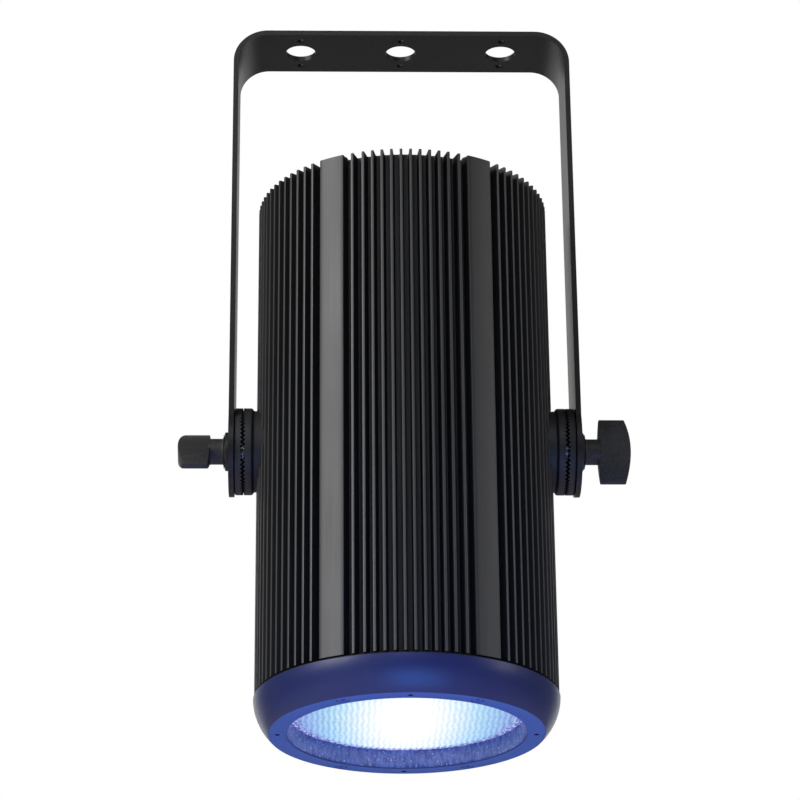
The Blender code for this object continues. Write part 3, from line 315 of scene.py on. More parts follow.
def glossy_recess():
    """The glossy wall between the ring's face and the lens, with painted reflections of the lens's
    flutes as streaks and painted glints.
    """
    material, tree, shader = new_material("recess_gloss_painted_reflections", 0.0, 0.5, coat=0.3)
    streaks_and_painted_reflections = noise(tree, place(tree, (1.0, 1.0, 0.35)), 1.5, 3.0, 0.65)
    painted_glints = noise(tree, place(tree), 1.1, 2.0)
    # painted reflections: the lens's flutes as pale streaks and glints, painted into the base
    # colour; the streaks also drive roughness and relief
    tint = blend_colours(tree, remap(tree, streaks_and_painted_reflections, 0.0, 1.0, 0.38, 0.62), (0.042, 0.084, 0.3),
                         (0.15, 0.21, 0.5))
    tint = blend_colours(tree, remap(tree, painted_glints, 0.0, 1.0, 0.62, 0.72), tint, (0.55, 0.58, 0.9))
    tree.links.new(tint, shader.inputs["Base Color"])
    tree.links.new(remap(tree, streaks_and_painted_reflections, 0.12, 0.22), shader.inputs["Roughness"])
    bump(tree, shader, streaks_and_painted_reflections, 0.05)
    return material


def spark_textured_plastic():
    """Moulded black plastic with a fine pebbled tool texture."""
    material, tree, shader = new_material("spark_textured_plastic", 0.0, 0.45)
    vector = place(tree)
    pebble = node(tree, "TexVoronoi", {"Vector": vector, "Scale": 1.9, "Smoothness": 0.6},
                  feature="SMOOTH_F1")
    grain = noise(tree, vector, 0.35, 3.0)
    speckle = noise(tree, vector, 0.9, 3.0, 0.7)
    colours = ((0.013, 0.013, 0.0135), (0.044, 0.044, 0.0455))
    paint(tree, shader, speckle, colours, grain, 0.46, 0.62)
    first = bump(tree, shader, pebble.outputs["Distance"], 0.08)
    bump(tree, shader, grain, 0.03, under=first)
    return material


def lit_lens():
    """The moulded lens with the lamp on: a white core that falls off to blue and lavender."""
    material, tree, shader = new_material("lit_moulded_lens", 0.0, 0.6)
    parts = node(tree, "SeparateXYZ", {"Vector": place(tree)})

    def measure(across_reach, along_reach):
        """Distance from the middle, 1 on an ellipse of these half-widths in millimetres."""
        squares = []
        for axis, reach in (("X", across_reach), ("Y", along_reach)):
            share = maths(tree, "DIVIDE", parts.outputs[axis], reach)
            squares.append(maths(tree, "MULTIPLY", share, share))
        return maths(tree, "SQRT", maths(tree, "ADD", *squares))

    def sine(value, pitch):
        return maths(tree, "SINE", maths(tree, "MULTIPLY", value, math.tau / pitch))

    def total(first, second, share=1.0):
        return maths(tree, "MULTIPLY_ADD", second, share, first)

    wave = sine(parts.outputs["Y"], math.tau * LENS_WAVE_PITCH / MM)
    stripe = sine(total(parts.outputs["X"], wave, LENS_WAVE / MM), LENS_FLUTE_PITCH / MM)
    fine = noise(tree, place(tree, (1.0, 0.16, 0.0)), 1.0, 2.0, 0.7)
    speck = noise(tree, place(tree, (1.0, 0.6, 0.0)), 1.4, 2.0)
    uneven = remap(tree, total(fine, speck), -0.07, 0.07, 0.75, 1.25)
    reach = total(total(measure(RECESS_RADIUS / MM, LENS_CORE_LENGTH), stripe, 0.085), uneven)
    ramp = node(tree, "ValToRGB", {"Fac": reach})
    stops = ((0.26, (1.0, 1.0, 1.0)), (0.46, (0.66, 0.82, 0.88)), (0.66, (0.34, 0.62, 0.8)),
             (0.94, (0.2, 0.28, 0.62)))
    elements = ramp.color_ramp.elements
    while len(elements) < len(stops):
        elements.new(0.5)
    for element, (position, colour) in zip(elements, stops):
        element.position = position
        element.color = (*colour, 1.0)
    edge = blend_colours(tree, remap(tree, speck, 0.0, 1.0, 0.46, 0.62), (0.06, 0.08, 0.32),
                         (0.55, 0.6, 0.9))
    edge_reach = measure(RECESS_RADIUS / MM, RECESS_RADIUS / MM)
    rim = remap(tree, total(edge_reach, stripe, 0.02), 0.0, 1.0, 0.86, 0.97)
    colour = blend_colours(tree, rim, ramp.outputs["Color"], edge)
    tree.links.new(colour, shader.inputs["Emission Color"])
    shader.inputs["Emission Strength"].default_value = LENS_BRIGHTNESS
    tint = blend_colours(tree, fine, (0.05, 0.07, 0.12), (0.1, 0.14, 0.22))
    tree.links.new(tint, shader.inputs["Base Color"])
    tree.links.new(remap(tree, speck, 0.06, 0.14), shader.inputs["Roughness"])
    return material


DARK = ((0.016, 0.016, 0.017), (0.024, 0.024, 0.026))
FINISHES = {
    "cast": ("cast_black", DARK, (0.46, 0.62), 0.0, 0.4, 0.05),
    "rubber": (
        "black_rubber_seal", ((0.01, 0.01, 0.01), (0.016, 0.016, 0.016)), (0.75, 0.9), 0.0, 0.6,
        0.03),
    "steel": (
        "zinc_plated_steel", ((0.42, 0.42, 0.43), (0.6, 0.6, 0.61)), (0.26, 0.42), 1.0, 0.5,
        0.008, 5.0),
    "black_steel": (
        "blackened_steel", ((0.02, 0.02, 0.022), (0.035, 0.035, 0.037)), (0.34, 0.46), 0.4, 0.5,
        0.01, 5.0),
    "aluminium": (
        "bare_turned_aluminium", ((0.62, 0.62, 0.63), (0.74, 0.74, 0.75)), (0.24, 0.36), 1.0, 0.3,
        0.01, 12.0),
    "mirror": (
        "vacuum_metallised", ((0.86, 0.86, 0.88), (0.92, 0.92, 0.94)), (0.05, 0.1), 1.0, 3.0,
        0.01, 20.0),
    "phosphor": (
        "led_phosphor", ((0.8, 0.62, 0.08), (0.9, 0.72, 0.14)), (0.5, 0.65), 0.0, 0.3, 0.02, 2.0),
    "ceramic": (
        "white_ceramic_board", ((0.78, 0.78, 0.76), (0.86, 0.86, 0.84)), (0.4, 0.55), 0.0, 0.4,
        0.01, 8.0),
    "board": (
        "green_solder_mask", ((0.015, 0.12, 0.05), (0.03, 0.2, 0.09)), (0.28, 0.42), 0.0, 1.2,
        0.03, 4.0),
    "component": ("black_component_sleeve", DARK, (0.35, 0.5), 0.0, 0.5, 0.02, 6.0),
    "winding": (
        "transformer_tape", ((0.66, 0.5, 0.07), (0.8, 0.64, 0.12)), (0.35, 0.5), 0.0, 0.9, 0.03,
        7.0, (1.0, 1.0, 6.0)),
    "plastic": ("black_moulded_nylon", DARK, (0.38, 0.55), 0.0, 0.5, 0.03),
    "red_wire": (
        "red_wire_insulation", ((0.45, 0.02, 0.02), (0.6, 0.04, 0.03)), (0.4, 0.5), 0.0, 0.5,
        0.01, 4.0),
    "black_wire": ("black_wire_insulation", DARK, (0.4, 0.5), 0.0, 0.5, 0.01, 4.0),
}


def make_materials():
    looks = {look: finish(*settings) for look, settings in FINISHES.items()}
    looks["anodised"] = anodised_extrusion(
        "anodised_extrusion", 0.85, ((0.012, 0.012, 0.0125), (0.016, 0.016, 0.0168)))
    # the tip copy is the same anodising painted paler, as a painted highlight on the fin tips; the
    # gap copy is painted darker, as painted shade on the fins' sides and between them
    looks["tip"] = anodised_extrusion(
        "anodised_fin_painted_highlight", 0.85, ((0.027, 0.027, 0.028), (0.034, 0.034, 0.0355)))
    looks["gap"] = anodised_extrusion(
        "anodised_gap_painted_shade", 0.4, ((0.0085, 0.0085, 0.0092), (0.0115, 0.0115, 0.0124)))
    looks["powder"] = powder_coat("powder_coat")
    looks["cover"] = powder_coat("cover_coat", 0.05)
    looks["bezel"] = satin_blue(
        "bezel_satin_blue", (0.36, 0.46), 0.05, ((0.009, 0.017, 0.096), (0.011, 0.022, 0.114)))
    # the face copy is the same blue paint painted much brighter, as painted light from the lamp's
    # glow falling on the ring's face
    looks["face"] = satin_blue(
        "bezel_face_painted_glow", (0.3, 0.4), 0.0, ((0.012, 0.104, 0.44), (0.015, 0.114, 0.48)))
    looks["recess"] = glossy_recess()
    looks["knob"] = spark_textured_plastic()
    looks["lens"] = lit_lens()
    return looks


# ---- mesh builders
def polar(radius, degrees):
    """A point at an angle from the front (-Y), turning towards +X."""
    angle = math.radians(degrees)
    return Vector((radius * math.sin(angle), -radius * math.cos(angle), 0.0))


def arc(centre, radius, first, last, steps):
    """Points of an arc in a plane, angles in degrees, both ends included."""
    return [
        (centre[0] + radius * math.cos(math.radians(first + (last - first) * i / steps)),
         centre[1] + radius * math.sin(math.radians(first + (last - first) * i / steps)))
        for i in range(steps + 1)
    ]


def circle(radius, count, centre=(0.0, 0.0)):
    return arc(centre, radius, 0.0, 360.0, count)[:-1]


def rounded(outline, radius, steps=3):
    """A closed outline with its marked corners rounded. A corner is (x, y) or (x, y, True)."""
    result = []
    for index, corner in enumerate(outline):
        here = Vector(corner[:2])
        if len(corner) < 3:
            result.append(tuple(here))
            continue
        before = Vector(outline[index - 1][:2]) - here
        after = Vector(outline[(index + 1) % len(outline)][:2]) - here
        turn = before.angle(after)
        back = min(radius / math.tan(turn / 2), before.length * 0.45, after.length * 0.45)
        start = here + before.normalized() * back
        end = here + after.normalized() * back
        for k in range(steps + 1):
            t = k / steps
            result.append(tuple(start * (1 - t) ** 2 + here * 2 * t * (1 - t) + end * t ** 2))
    return result


def ring_points(samples):
    """Points round Z, evenly turned, from one (radius, height) each."""
    count = len(samples)
    return [(r * math.cos(math.tau * k / count), r * math.sin(math.tau * k / count), z)
            for k, (r, z) in enumerate(samples)]


def oriented(bm):
    bmesh.ops.recalc_face_normals(bm, faces=bm.faces)
    return bm


def skin(bm, rings):
    """Faces between each ring of vertices and the next."""
    for ring, following in zip(rings, rings[1:]):
        for i in range(len(ring)):
            j = (i + 1) % len(ring)
            bm.faces.new((ring[i], ring[j], following[j], following[i]))


def loft(rings, closed=True):
    """Skin a list of equally long rings of points, as a tube that closes on itself or is capped."""
    bm = bmesh.new()
    made = [[bm.verts.new(point) for point in ring] for ring in rings]
    skin(bm, made + made[:1] if closed else made)
    if not closed:
        bm.faces.new(made[0])
        bm.faces.new(made[-1])
    return oriented(bm)


def turned(outline, count):
    """A solid of revolution about Z from a closed outline of (radius, height) points."""
    bm = bmesh.new()
    rings = []
    for radius, height in outline:
        if radius < 1e-9:
            rings.append([bm.verts.new((0.0, 0.0, height))])
        else:
            rings.append([bm.verts.new((x, y, height)) for x, y in circle(radius, count)])
    for ring, following in zip(rings, rings[1:] + rings[:1]):
        if len(ring) == 1 and len(following) == 1:
            continue
        for i in range(count):
            j = (i + 1) % count
            corners = [ring[i % len(ring)], ring[j % len(ring)],
                       following[j % len(following)], following[i % len(following)]]
            bm.faces.new(list(dict.fromkeys(corners)))
    return oriented(bm)


def rod(radius, low, high, count):
    return turned([(0.0, low), (radius, low), (radius, high), (0.0, high)], count)


def prism(loops, low, high):
    """Extrude a flat outline, with any further loops as holes, from low to high in Z."""
    bm = bmesh.new()
    edges = []
    for loop in loops:
        verts = [bm.verts.new((x, y, low)) for x, y in loop]
        edges += [bm.edges.new(pair) for pair in zip(verts, verts[1:] + verts[:1])]
    bmesh.ops.triangle_fill(bm, use_beauty=True, edges=edges)
    grown = bmesh.ops.extrude_face_region(bm, geom=list(bm.faces))
    lifted = [item for item in grown["geom"] if isinstance(item, bmesh.types.BMVert)]
    bmesh.ops.translate(bm, vec=(0.0, 0.0, high - low), verts=lifted)
    return oriented(bm)


def spun(bm, angle, axis="Z"):
    bmesh.ops.transform(bm, matrix=Matrix.Rotation(angle, 4, axis), verts=bm.verts)
    return bm


def along_x(bm, side=1):
    """Turn a mesh built about Z so that its +Z points along +X, or -X for side -1."""
    return spun(bm, side * math.pi / 2, "Y")


def moved(bm, offset):
    bmesh.ops.translate(bm, vec=offset, verts=bm.verts)
    return bm


def block(size, centre, turn):
    """A box, placed and then turned about Z."""
    bm = bmesh.new()
    bmesh.ops.create_cube(bm, size=1.0)
    bmesh.ops.scale(bm, vec=size, verts=bm.verts)
    return spun(moved(bm, centre), turn)


def threads(low, turns, pitch, crest, root, flat):
    """Thread-like grooves as (radius, height) points. flat is a crest's share of the pitch."""
    steps = ((crest, 0.0), (crest, flat), (root, 0.5), (root, 0.5 + flat))
    return [(radius, low + (k + share) * pitch) for k in range(turns) for radius, share in steps]


SCREW_PLACES = [polar(SCREW_CIRCLE, angle) for angle in RIB_ANGLES]


def at_screws(radius, low, high, count):
    """A rod at each corner screw's place."""
    return [moved(rod(radius, low, high, count), place) for place in SCREW_PLACES]


# ---- pieces
def smooth(mesh, angle):
    mesh.shade_smooth()
    mesh.set_sharp_from_angle(angle=math.radians(angle))


def make_object(name, bm, materials, location=(0.0, 0.0, 0.0), angle=32.0):
    mesh = bpy.data.meshes.new(name)
    bm.to_mesh(mesh)
    bm.free()
    smooth(mesh, angle)
    for material in materials:
        mesh.materials.append(material)
    made = bpy.data.objects.new(name, mesh)
    bpy.context.scene.collection.objects.link(made)
    made.location = location
    return made


def combine(target, shapes, operation, angle=32.0):
    """Cut or join shapes given in the target's own coordinates, and keep the result."""
    tools = []
    for index, shape in enumerate(shapes):
        tool = make_object(f"{target.name}_tool_{index}", shape, target.data.materials[:1],
                           target.location)
        modifier = target.modifiers.new(f"tool_{index}", "BOOLEAN")
        modifier.operation = operation
        modifier.solver = "EXACT"
        modifier.object = tool
        tools.append(tool)
    bpy.context.view_layer.update()
    evaluated = target.evaluated_get(bpy.context.evaluated_depsgraph_get())
    finished = bpy.data.meshes.new_from_object(evaluated)
    target.modifiers.clear()
    target.data = finished
    smooth(finished, angle)
    for tool in tools:
        bpy.data.objects.remove(tool)


def cut(target, shapes, angle=32.0):
    combine(target, shapes, "DIFFERENCE", angle)


def join(target, shapes, angle=32.0):
    combine(target, shapes, "UNION", angle)


def soften(target, width, segments, limit=40.0):
    """A small round on every edge sharper than the limit in degrees."""
    modifier = target.modifiers.new("edge_round", "BEVEL")
    modifier.width = width
    modifier.segments = segments
    modifier.limit_method = "ANGLE"
    modifier.angle_limit = math.radians(limit)
    modifier.use_clamp_overlap = True
    modifier.harden_normals = True


def stands_for(piece, body, slot, *nodes):
    """The piece moves with the body and hides these CAD nodes. The slot is not used."""
    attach(piece, body)
    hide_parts(*nodes)


# ---- yoke
def build_yoke(looks):
    """The bent strap with its round ears, as one sheet with finely rounded edges."""
    half = YOKE_WIDTH / 2
    centre = (half - YOKE_BEND_RADIUS, YOKE_TOP - YOKE_BEND_RADIUS)
    outside = arc(centre, YOKE_BEND_RADIUS, 90.0, 0.0, YOKE_BEND_STEPS) + [(half, PIVOT_Z)]
    inside = arc(centre, YOKE_BEND_RADIUS - YOKE_THICKNESS, 90.0, 0.0, YOKE_BEND_STEPS)
    inside += [(half - YOKE_THICKNESS, PIVOT_Z)]
    right = outside + inside[::-1]
    left = [(-x, z) for x, z in reversed(right)]
    bm = prism([right + left], -YOKE_STRAP / 2, YOKE_STRAP / 2)
    yoke = make_object("yoke_strap", spun(bm, math.pi / 2, "X"), [looks["powder"]])
    ears = []
    for start in (half - YOKE_THICKNESS, -half):
        ear = along_x(rod(YOKE_EAR_RADIUS, 0.0, YOKE_THICKNESS, 96))
        ears.append(moved(ear, (start, 0.0, PIVOT_Z)))
    join(yoke, ears)
    holes = []
    for index in (-1, 0, 1):
        x = index * HANGING_HOLE_PITCH
        for radius, y, count in ((HANGING_HOLE_RADIUS, 0.0, 56),
                                 (LOCATING_HOLE_RADIUS, -LOCATING_HOLE_OFFSET, 24),
                                 (LOCATING_HOLE_RADIUS, LOCATING_HOLE_OFFSET, 24)):
            hole = rod(radius, -YOKE_HOLE_REACH, YOKE_HOLE_REACH, count)
            holes.append(moved(hole, (x, y, 0.0)))
    stud_hole = along_x(rod(STUD_HOLE_RADIUS, -YOKE_WIDTH, YOKE_WIDTH, 36))
    holes.append(moved(stud_hole, (0.0, 0.0, PIVOT_Z)))
    cut(yoke, holes)
    soften(yoke, 0.4 * MM, 3)
    stands_for(yoke, "yoke", "black_powder_coat", "yoke")


# ---- toothed tilt rosettes
def tooth_height(sample):
    """Height of the toothed face at a sample round the disc, 0 at the tips."""
    share = abs((sample % SAMPLES_PER_TOOTH) / (SAMPLES_PER_TOOTH / 2) - 1.0)
    return -ROSETTE_TOOTH_HEIGHT * min(1.0, max(0.0, (share - 0.08) / 0.84))


def build_rosette(looks, side, on_lamp):
    """A disc about X with face teeth, a rounded rim and, on the lamp, a smaller boss behind.

    The yoke's teeth are half a tooth round from the lamp's, so that the seam is a zigzag.
    """
    count = ROSETTE_TEETH * SAMPLES_PER_TOOTH
    phase = 0 if on_lamp else SAMPLES_PER_TOOTH // 2
    recess = -ROSETTE_TOOTH_HEIGHT
    hub_depth = -(ROSETTE_SEAM_X - SEAT_GAP / 2 - HUB_SEAT_X - SEAT_GAP)
    if on_lamp:
        back = -(ROSETTE_SEAM_X - ROSETTE_DISC_BACK_X) + SEAT_GAP * 0.5
    else:
        back = -(YOKE_WIDTH / 2 - YOKE_THICKNESS - ROSETTE_SEAM_X) + SEAT_GAP * 1.5
    rim = 1.0 * MM if on_lamp else 0.6 * MM
    flat = [(STUD_HOLE_RADIUS + 0.3 * MM, recess), (ROSETTE_TOOTH_INNER - 0.6 * MM, recess)]
    behind = arc((ROSETTE_RADIUS - rim, back + rim), rim, 0.0, -90.0, 5)
    if on_lamp:
        corner = 0.8 * MM
        behind += arc((HUB_RADIUS + corner, back - corner), corner, 90.0, 180.0, 4)
        behind += [(HUB_RADIUS, hub_depth + EDGE), (HUB_RADIUS - EDGE, hub_depth)]
        behind += [(STUD_HOLE_RADIUS, hub_depth)]
    else:
        behind += [(STUD_HOLE_RADIUS, back)]
    behind += [(STUD_HOLE_RADIUS, recess - 0.3 * MM)]
    rings = [[(r, z)] * count for r, z in flat]
    for radius, share in ((ROSETTE_TOOTH_INNER, 1.0), (ROSETTE_RADIUS - 0.5 * MM, 1.0),
                          (ROSETTE_RADIUS, 0.92)):
        sink = ROSETTE_TOOTH_HEIGHT * (1.0 - share)
        rings.append([(radius, tooth_height(k + phase) * share - sink) for k in range(count)])
    rings += [[(r, z)] * count for r, z in behind]
    label = "left" if side < 0 else "right"
    facing = side if on_lamp else -side
    offset = side * (ROSETTE_SEAM_X + (-SEAT_GAP if on_lamp else SEAT_GAP) / 2)
    owner = "body" if on_lamp else "yoke"
    bm = along_x(loft([ring_points(ring) for ring in rings]), facing)
    disc = make_object(f"{owner}_toothed_disc_{label}", bm, [looks["cast"]],
                       (offset, 0.0, PIVOT_Z), 28.0)
    if on_lamp:
        profile = [(0.0, recess + 0.5 * MM), (4.3 * MM, recess + 0.5 * MM), (4.3 * MM, recess),
                   (2.3 * MM, recess - 2.0 * MM), (2.3 * MM, hub_depth - MM),
                   (0.0, hub_depth - MM)]
        holes = [moved(along_x(turned(profile, 32), facing), (0.0, 0.0, z))
                 for z in (-ROSETTE_SCREW_OFFSET, ROSETTE_SCREW_OFFSET)]
        cut(disc, holes, 28.0)
    stands_for(disc, "lamp" if on_lamp else "yoke", "black_cast_metal", f"{owner}_rosette_{label}")


# ---- heatsink
def fin_angles():
    """Every fin's angle from the front, in degrees."""
    angles = []
    for i in range(FRONT_FINS):
        offset = (i - (FRONT_FINS - 1) / 2) * FRONT_FIN_PITCH
        if i in (0, FRONT_FINS - 1):
            offset += math.copysign(FRONT_EDGE_FIN_SHIFT, offset)
        angles += [offset % 360.0, (180.0 + offset) % 360.0]
    side_pitch = (180.0 - 2 * SIDE_FIN_FIRST) / (SIDE_FINS - 1)
    for i in range(SIDE_FINS):
        offset = SIDE_FIN_FIRST + i * side_pitch
        angles += [offset, 360.0 - offset]
    return angles


def fin_outline(angle):
    """One parallel-sided fin with rounded tip corners and a fillet at its root."""
    half = FIN_THICKNESS / 2
    fillet = 0.5 * MM
    corner = 0.16 * MM
    radial = polar(1.0, angle).xy
    sideways = polar(1.0, angle + 90.0).xy
    half_profile = [(-half - fillet, FIN_ROOT_RADIUS)]
    half_profile += arc((-half - fillet, FIN_ROOT_RADIUS + fillet), fillet, -90.0, 0.0, 3)[1:]
    half_profile += arc((-half + corner, FIN_TIP_RADIUS - corner), corner, 180.0, 90.0, 2)
    profile = half_profile + [(-x, r) for x, r in reversed(half_profile)]
    return [tuple(radial * r + sideways * x) for x, r in profile]


def rib_outline(angle):
    """A wide rib with softly broken edges, following the body's round."""
    fillet = 0.5 * MM
    corner = 0.35 * MM
    root_turn = math.degrees(fillet / FIN_ROOT_RADIUS)
    tip_turn = math.degrees(corner / FIN_TIP_RADIUS)
    flank = [(FIN_ROOT_RADIUS, -root_turn),
             (FIN_ROOT_RADIUS + fillet * 0.3, -root_turn * 0.3),
             (FIN_ROOT_RADIUS + fillet, 0.0),
             (FIN_TIP_RADIUS - corner, 0.0),
             (FIN_TIP_RADIUS - corner * 0.3, tip_turn * 0.3)]
    steps = 8
    first = angle - RIB_HALF_WIDTH + tip_turn
    last = angle + RIB_HALF_WIDTH - tip_turn
    points = [polar(radius, angle - RIB_HALF_WIDTH + turn) for radius, turn in flank]
    points += [polar(FIN_TIP_RADIUS, first + (last - first) * k / steps) for k in range(steps + 1)]
    points += [polar(radius, angle + RIB_HALF_WIDTH - turn) for radius, turn in flank[::-1]]
    return [tuple(point.xy) for point in points]


def on_rib(point):
    """True for a point within half a degree of a rib, or on it."""
    turn = math.degrees(math.atan2(point.x, -point.y)) % 360.0
    return any(abs(turn - angle) < RIB_HALF_WIDTH + 0.5 for angle in RIB_ANGLES)


def bore_outline():
    """The extrusion's inside: a round bore with a lobe around each screw port."""
    squared = BORE_RADIUS ** 2 + SCREW_CIRCLE ** 2 - SCREW_PORT_LOBE ** 2
    meet = math.degrees(math.acos(squared / (2 * BORE_RADIUS * SCREW_CIRCLE)))
    outline = []
    for index, angle in enumerate(RIB_ANGLES):
        centre = polar(SCREW_CIRCLE, angle)
        inward = -centre.normalized()
        spread = inward.angle(polar(BORE_RADIUS, angle - meet) - centre)
        for k in range(13):
            spoke = Matrix.Rotation(spread * (1 - k / 6), 3, "Z") @ inward * SCREW_PORT_LOBE
            outline.append(tuple((centre + spoke).xy))
        following = RIB_ANGLES[(index + 1) % len(RIB_ANGLES)]
        following += 360.0 if index + 1 == len(RIB_ANGLES) else 0.0
        span = following - angle - 2 * meet
        steps = round(span / 3.0)
        outline += [tuple(polar(BORE_RADIUS, angle + meet + span * k / steps).xy)
                    for k in range(1, steps)]
    return outline


def build_heatsink(looks):
    features = [(angle, fin_outline) for angle in fin_angles()]
    features += [(angle, rib_outline) for angle in RIB_ANGLES]
    outline = [point for angle, shape in sorted(features, key=lambda f: f[0])
               for point in shape(angle)]
    ports = [circle(SCREW_PORT_RADIUS, 24, place.xy) for place in SCREW_PLACES]
    bm = prism([outline, bore_outline()] + ports, HEATSINK_LOW, HEATSINK_HIGH)
    heatsink = make_object("finned_body", bm, [looks["anodised"], looks["gap"], looks["tip"]],
                           PIVOT)
    pockets = []
    for side in (-1, 1):
        pocket = rod(HUB_POCKET_RADIUS, HUB_SEAT_X, FIN_TIP_RADIUS + 5 * MM, 72)
        pockets.append(along_x(pocket, side))
        for z in (-ROSETTE_SCREW_OFFSET, ROSETTE_SCREW_OFFSET):
            hole = along_x(rod(2.2 * MM, FIN_ROOT_RADIUS / 2, FIN_TIP_RADIUS, 20), side)
            pockets.append(moved(hole, (0.0, 0.0, z)))
    cut(heatsink, pockets)
    # painted shade: fin sides and the root between fins get the darker gap copy; painted highlight:
    # the outer band of each fin tip gets the paler tip copy
    for face in heatsink.data.polygons:
        at_end = abs(face.normal.z) > 0.5
        if not at_end and face.center.xy.length < FIN_TIP_RADIUS - FIN_PAINTED_HIGHLIGHT_BAND:
            face.material_index = 1
        elif not at_end and not on_rib(face.center):
            face.material_index = 2
    stands_for(heatsink, "lamp", "black_anodised", "heatsink_body")


# ---- front end
def build_bezel(looks):
    """The front ring: rounded side, flat face, countersunk screw seats and a glossy recess."""
    centre_radius = BEZEL_RADIUS - BEZEL_SIDE_ARC
    last = math.degrees(math.asin((BEZEL_ARC_CENTRE - BEZEL_FACE) / BEZEL_SIDE_ARC))
    first = math.degrees(math.asin((BEZEL_ARC_CENTRE - BEZEL_TOP) / BEZEL_SIDE_ARC))
    side = arc((centre_radius, BEZEL_ARC_CENTRE), BEZEL_SIDE_ARC, -first, -last, 28)
    lip = 0.5 * MM
    outline = side[:-1] + [(*side[-1], True)]
    outline += [(APERTURE_RADIUS + lip, BEZEL_FACE)]
    outline += arc((APERTURE_RADIUS + lip, BEZEL_FACE + lip), lip, -90.0, -180.0, 4)[1:]
    recess_steps = 6
    outline += [(APERTURE_RADIUS + (RECESS_RADIUS - APERTURE_RADIUS) * k / recess_steps,
                 BEZEL_FACE + lip + (LENS_SEAT - BEZEL_FACE - lip) * k / recess_steps)
                for k in range(1, recess_steps + 1)]
    outline += [(LENS_POCKET_RADIUS, LENS_SEAT), (LENS_POCKET_RADIUS, RETAINER_FLOOR),
                (RETAINER_POCKET_RADIUS, RETAINER_FLOOR), (RETAINER_POCKET_RADIUS, BEZEL_TOP)]
    bezel = make_object("front_ring", turned(rounded(outline, 0.5 * MM), 240),
                        [looks["bezel"], looks["face"], looks["recess"]], PIVOT)
    holes = []
    for place in SCREW_PLACES:
        profile = [(0.0, BEZEL_FACE - MM), (4.0 * MM, BEZEL_FACE - MM), (3.0 * MM, BEZEL_FACE),
                   (1.75 * MM, BEZEL_FACE + COUNTERSINK_DEPTH), (1.75 * MM, BEZEL_TOP + MM),
                   (0.0, BEZEL_TOP + MM)]
        holes.append(moved(turned(profile, 40), place))
    for angle in RETAINER_SCREW_ANGLES:
        hole = rod(1.15 * MM, BEZEL_FACE - MM, BEZEL_TOP + MM, 24)
        holes.append(moved(hole, polar(RETAINER_SCREW_CIRCLE, angle)))
    cut(bezel, holes)
    for face in bezel.data.polygons:
        reach = face.center.xy.length
        # the recess wall gets the copy with the painted lens reflections
        if reach < APERTURE_RADIUS and face.center.z < LENS_SEAT - 0.1 * MM:
            face.material_index = 2
        # the flat face gets the brighter copy with the lamp's painted glow
        elif face.normal.z < -0.95 and face.center.z < BEZEL_FACE + 0.5 * MM:
            face.material_index = 1
    stands_for(bezel, "lamp", "blue_satin_paint", "front_bezel")


def cross_recess(radius, depth, floor_z, outward):
    """A tapered cross-shaped driver recess as cutters about Z. outward is the head's facing."""
    arm = radius * 0.22
    start_turn = 0.4
    rings = []
    for share, z in ((0.55, floor_z), (1.0, floor_z + outward * depth),
                     (1.15, floor_z + outward * depth * 1.6)):
        rings.append([(sx * radius * share, sy * arm * (0.7 + 0.3 * share), z)
                      for sx, sy in ((-1, -1), (1, -1), (1, 1), (-1, 1))])
    return [spun(loft(rings, closed=False), start_turn + turn) for turn in (0.0, math.pi / 2)]


def corner_screws(name, node_name, outline, look, depth, floor_z, outward):
    """The same screw at each corner place, with a cross recess in its head."""
    for index, place in enumerate(SCREW_PLACES, 1):
        screw = make_object(f"{name}_{index}", turned(outline, 40), [look], PIVOT + place)
        cut(screw, cross_recess(1.5 * MM, depth, floor_z, outward))
        stands_for(screw, "lamp", "black_steel", f"{node_name}_{index}")


def build_bezel_screws(looks):
    head = BEZEL_FACE + 0.1 * MM
    seat = BEZEL_FACE + COUNTERSINK_DEPTH
    top = BEZEL_FACE + BEZEL_SCREW_LENGTH
    outline = [(0.0, head), (2.45 * MM, head), (2.6 * MM, head + 0.1 * MM), (1.45 * MM, seat),
               (1.45 * MM, top - 0.5 * MM), (1.0 * MM, top), (0.0, top)]
    # the screw heads take the face's paint, with its painted glow
    corner_screws("ring_screw", "bezel_screw", outline, looks["face"], 1.0 * MM, head + 1.0 * MM,
                  -1)


def build_gaskets(looks):
    rear_outer = box_radius("rear_gasket")
    for name, node_name, inside, outside, count in (
            ("front_gasket_ring", "bezel_gasket", 62.9 * MM, 69.2 * MM, 200),
            ("rear_gasket_ring", "rear_gasket", 54.8 * MM, rear_outer, 160)):
        low, high = (corner.z - PIVOT_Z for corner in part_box(node_name))
        bulge = (high - low) / 4
        outline = [(inside, low), (outside - bulge, low)]
        outline += arc((outside - bulge * 2, (low + high) / 2), bulge * 2, -80.0, 80.0, 6)
        outline += [(outside - bulge, high), (inside, high)]
        ring = make_object(name, turned(outline, count), [looks["rubber"]], PIVOT)
        if node_name == "rear_gasket":
            join(ring, at_screws(COVER_LUG_RADIUS, low, high, 48))
            cut(ring, at_screws(2.2 * MM, low - MM, high + MM, 24))
        stands_for(ring, "lamp", "black_rubber", node_name)


def lens_relief(x, y, radius):
    """Depth of the moulded pattern: long wavy flutes in the middle, hammered beads at the edge."""
    reach = math.hypot(x, y) / radius
    wave = LENS_WAVE * math.sin(y / LENS_WAVE_PITCH)
    flutes = 0.5 * math.cos(math.tau * (x + wave) / LENS_FLUTE_PITCH)
    beads = 0.5 * math.cos(math.tau * x / LENS_FLUTE_PITCH) * math.cos(math.tau * y / (3.2 * MM))
    beads += 0.25 * math.cos(math.tau * (x * 0.7 + y * 0.9) / (2.1 * MM))
    share = min(1.0, max(0.0, (reach - 0.62) / 0.25))
    fade = min(1.0, max(0.0, (1.0 - reach) / 0.03))
    return (flutes * (1 - share) + beads * share) * LENS_RELIEF * fade


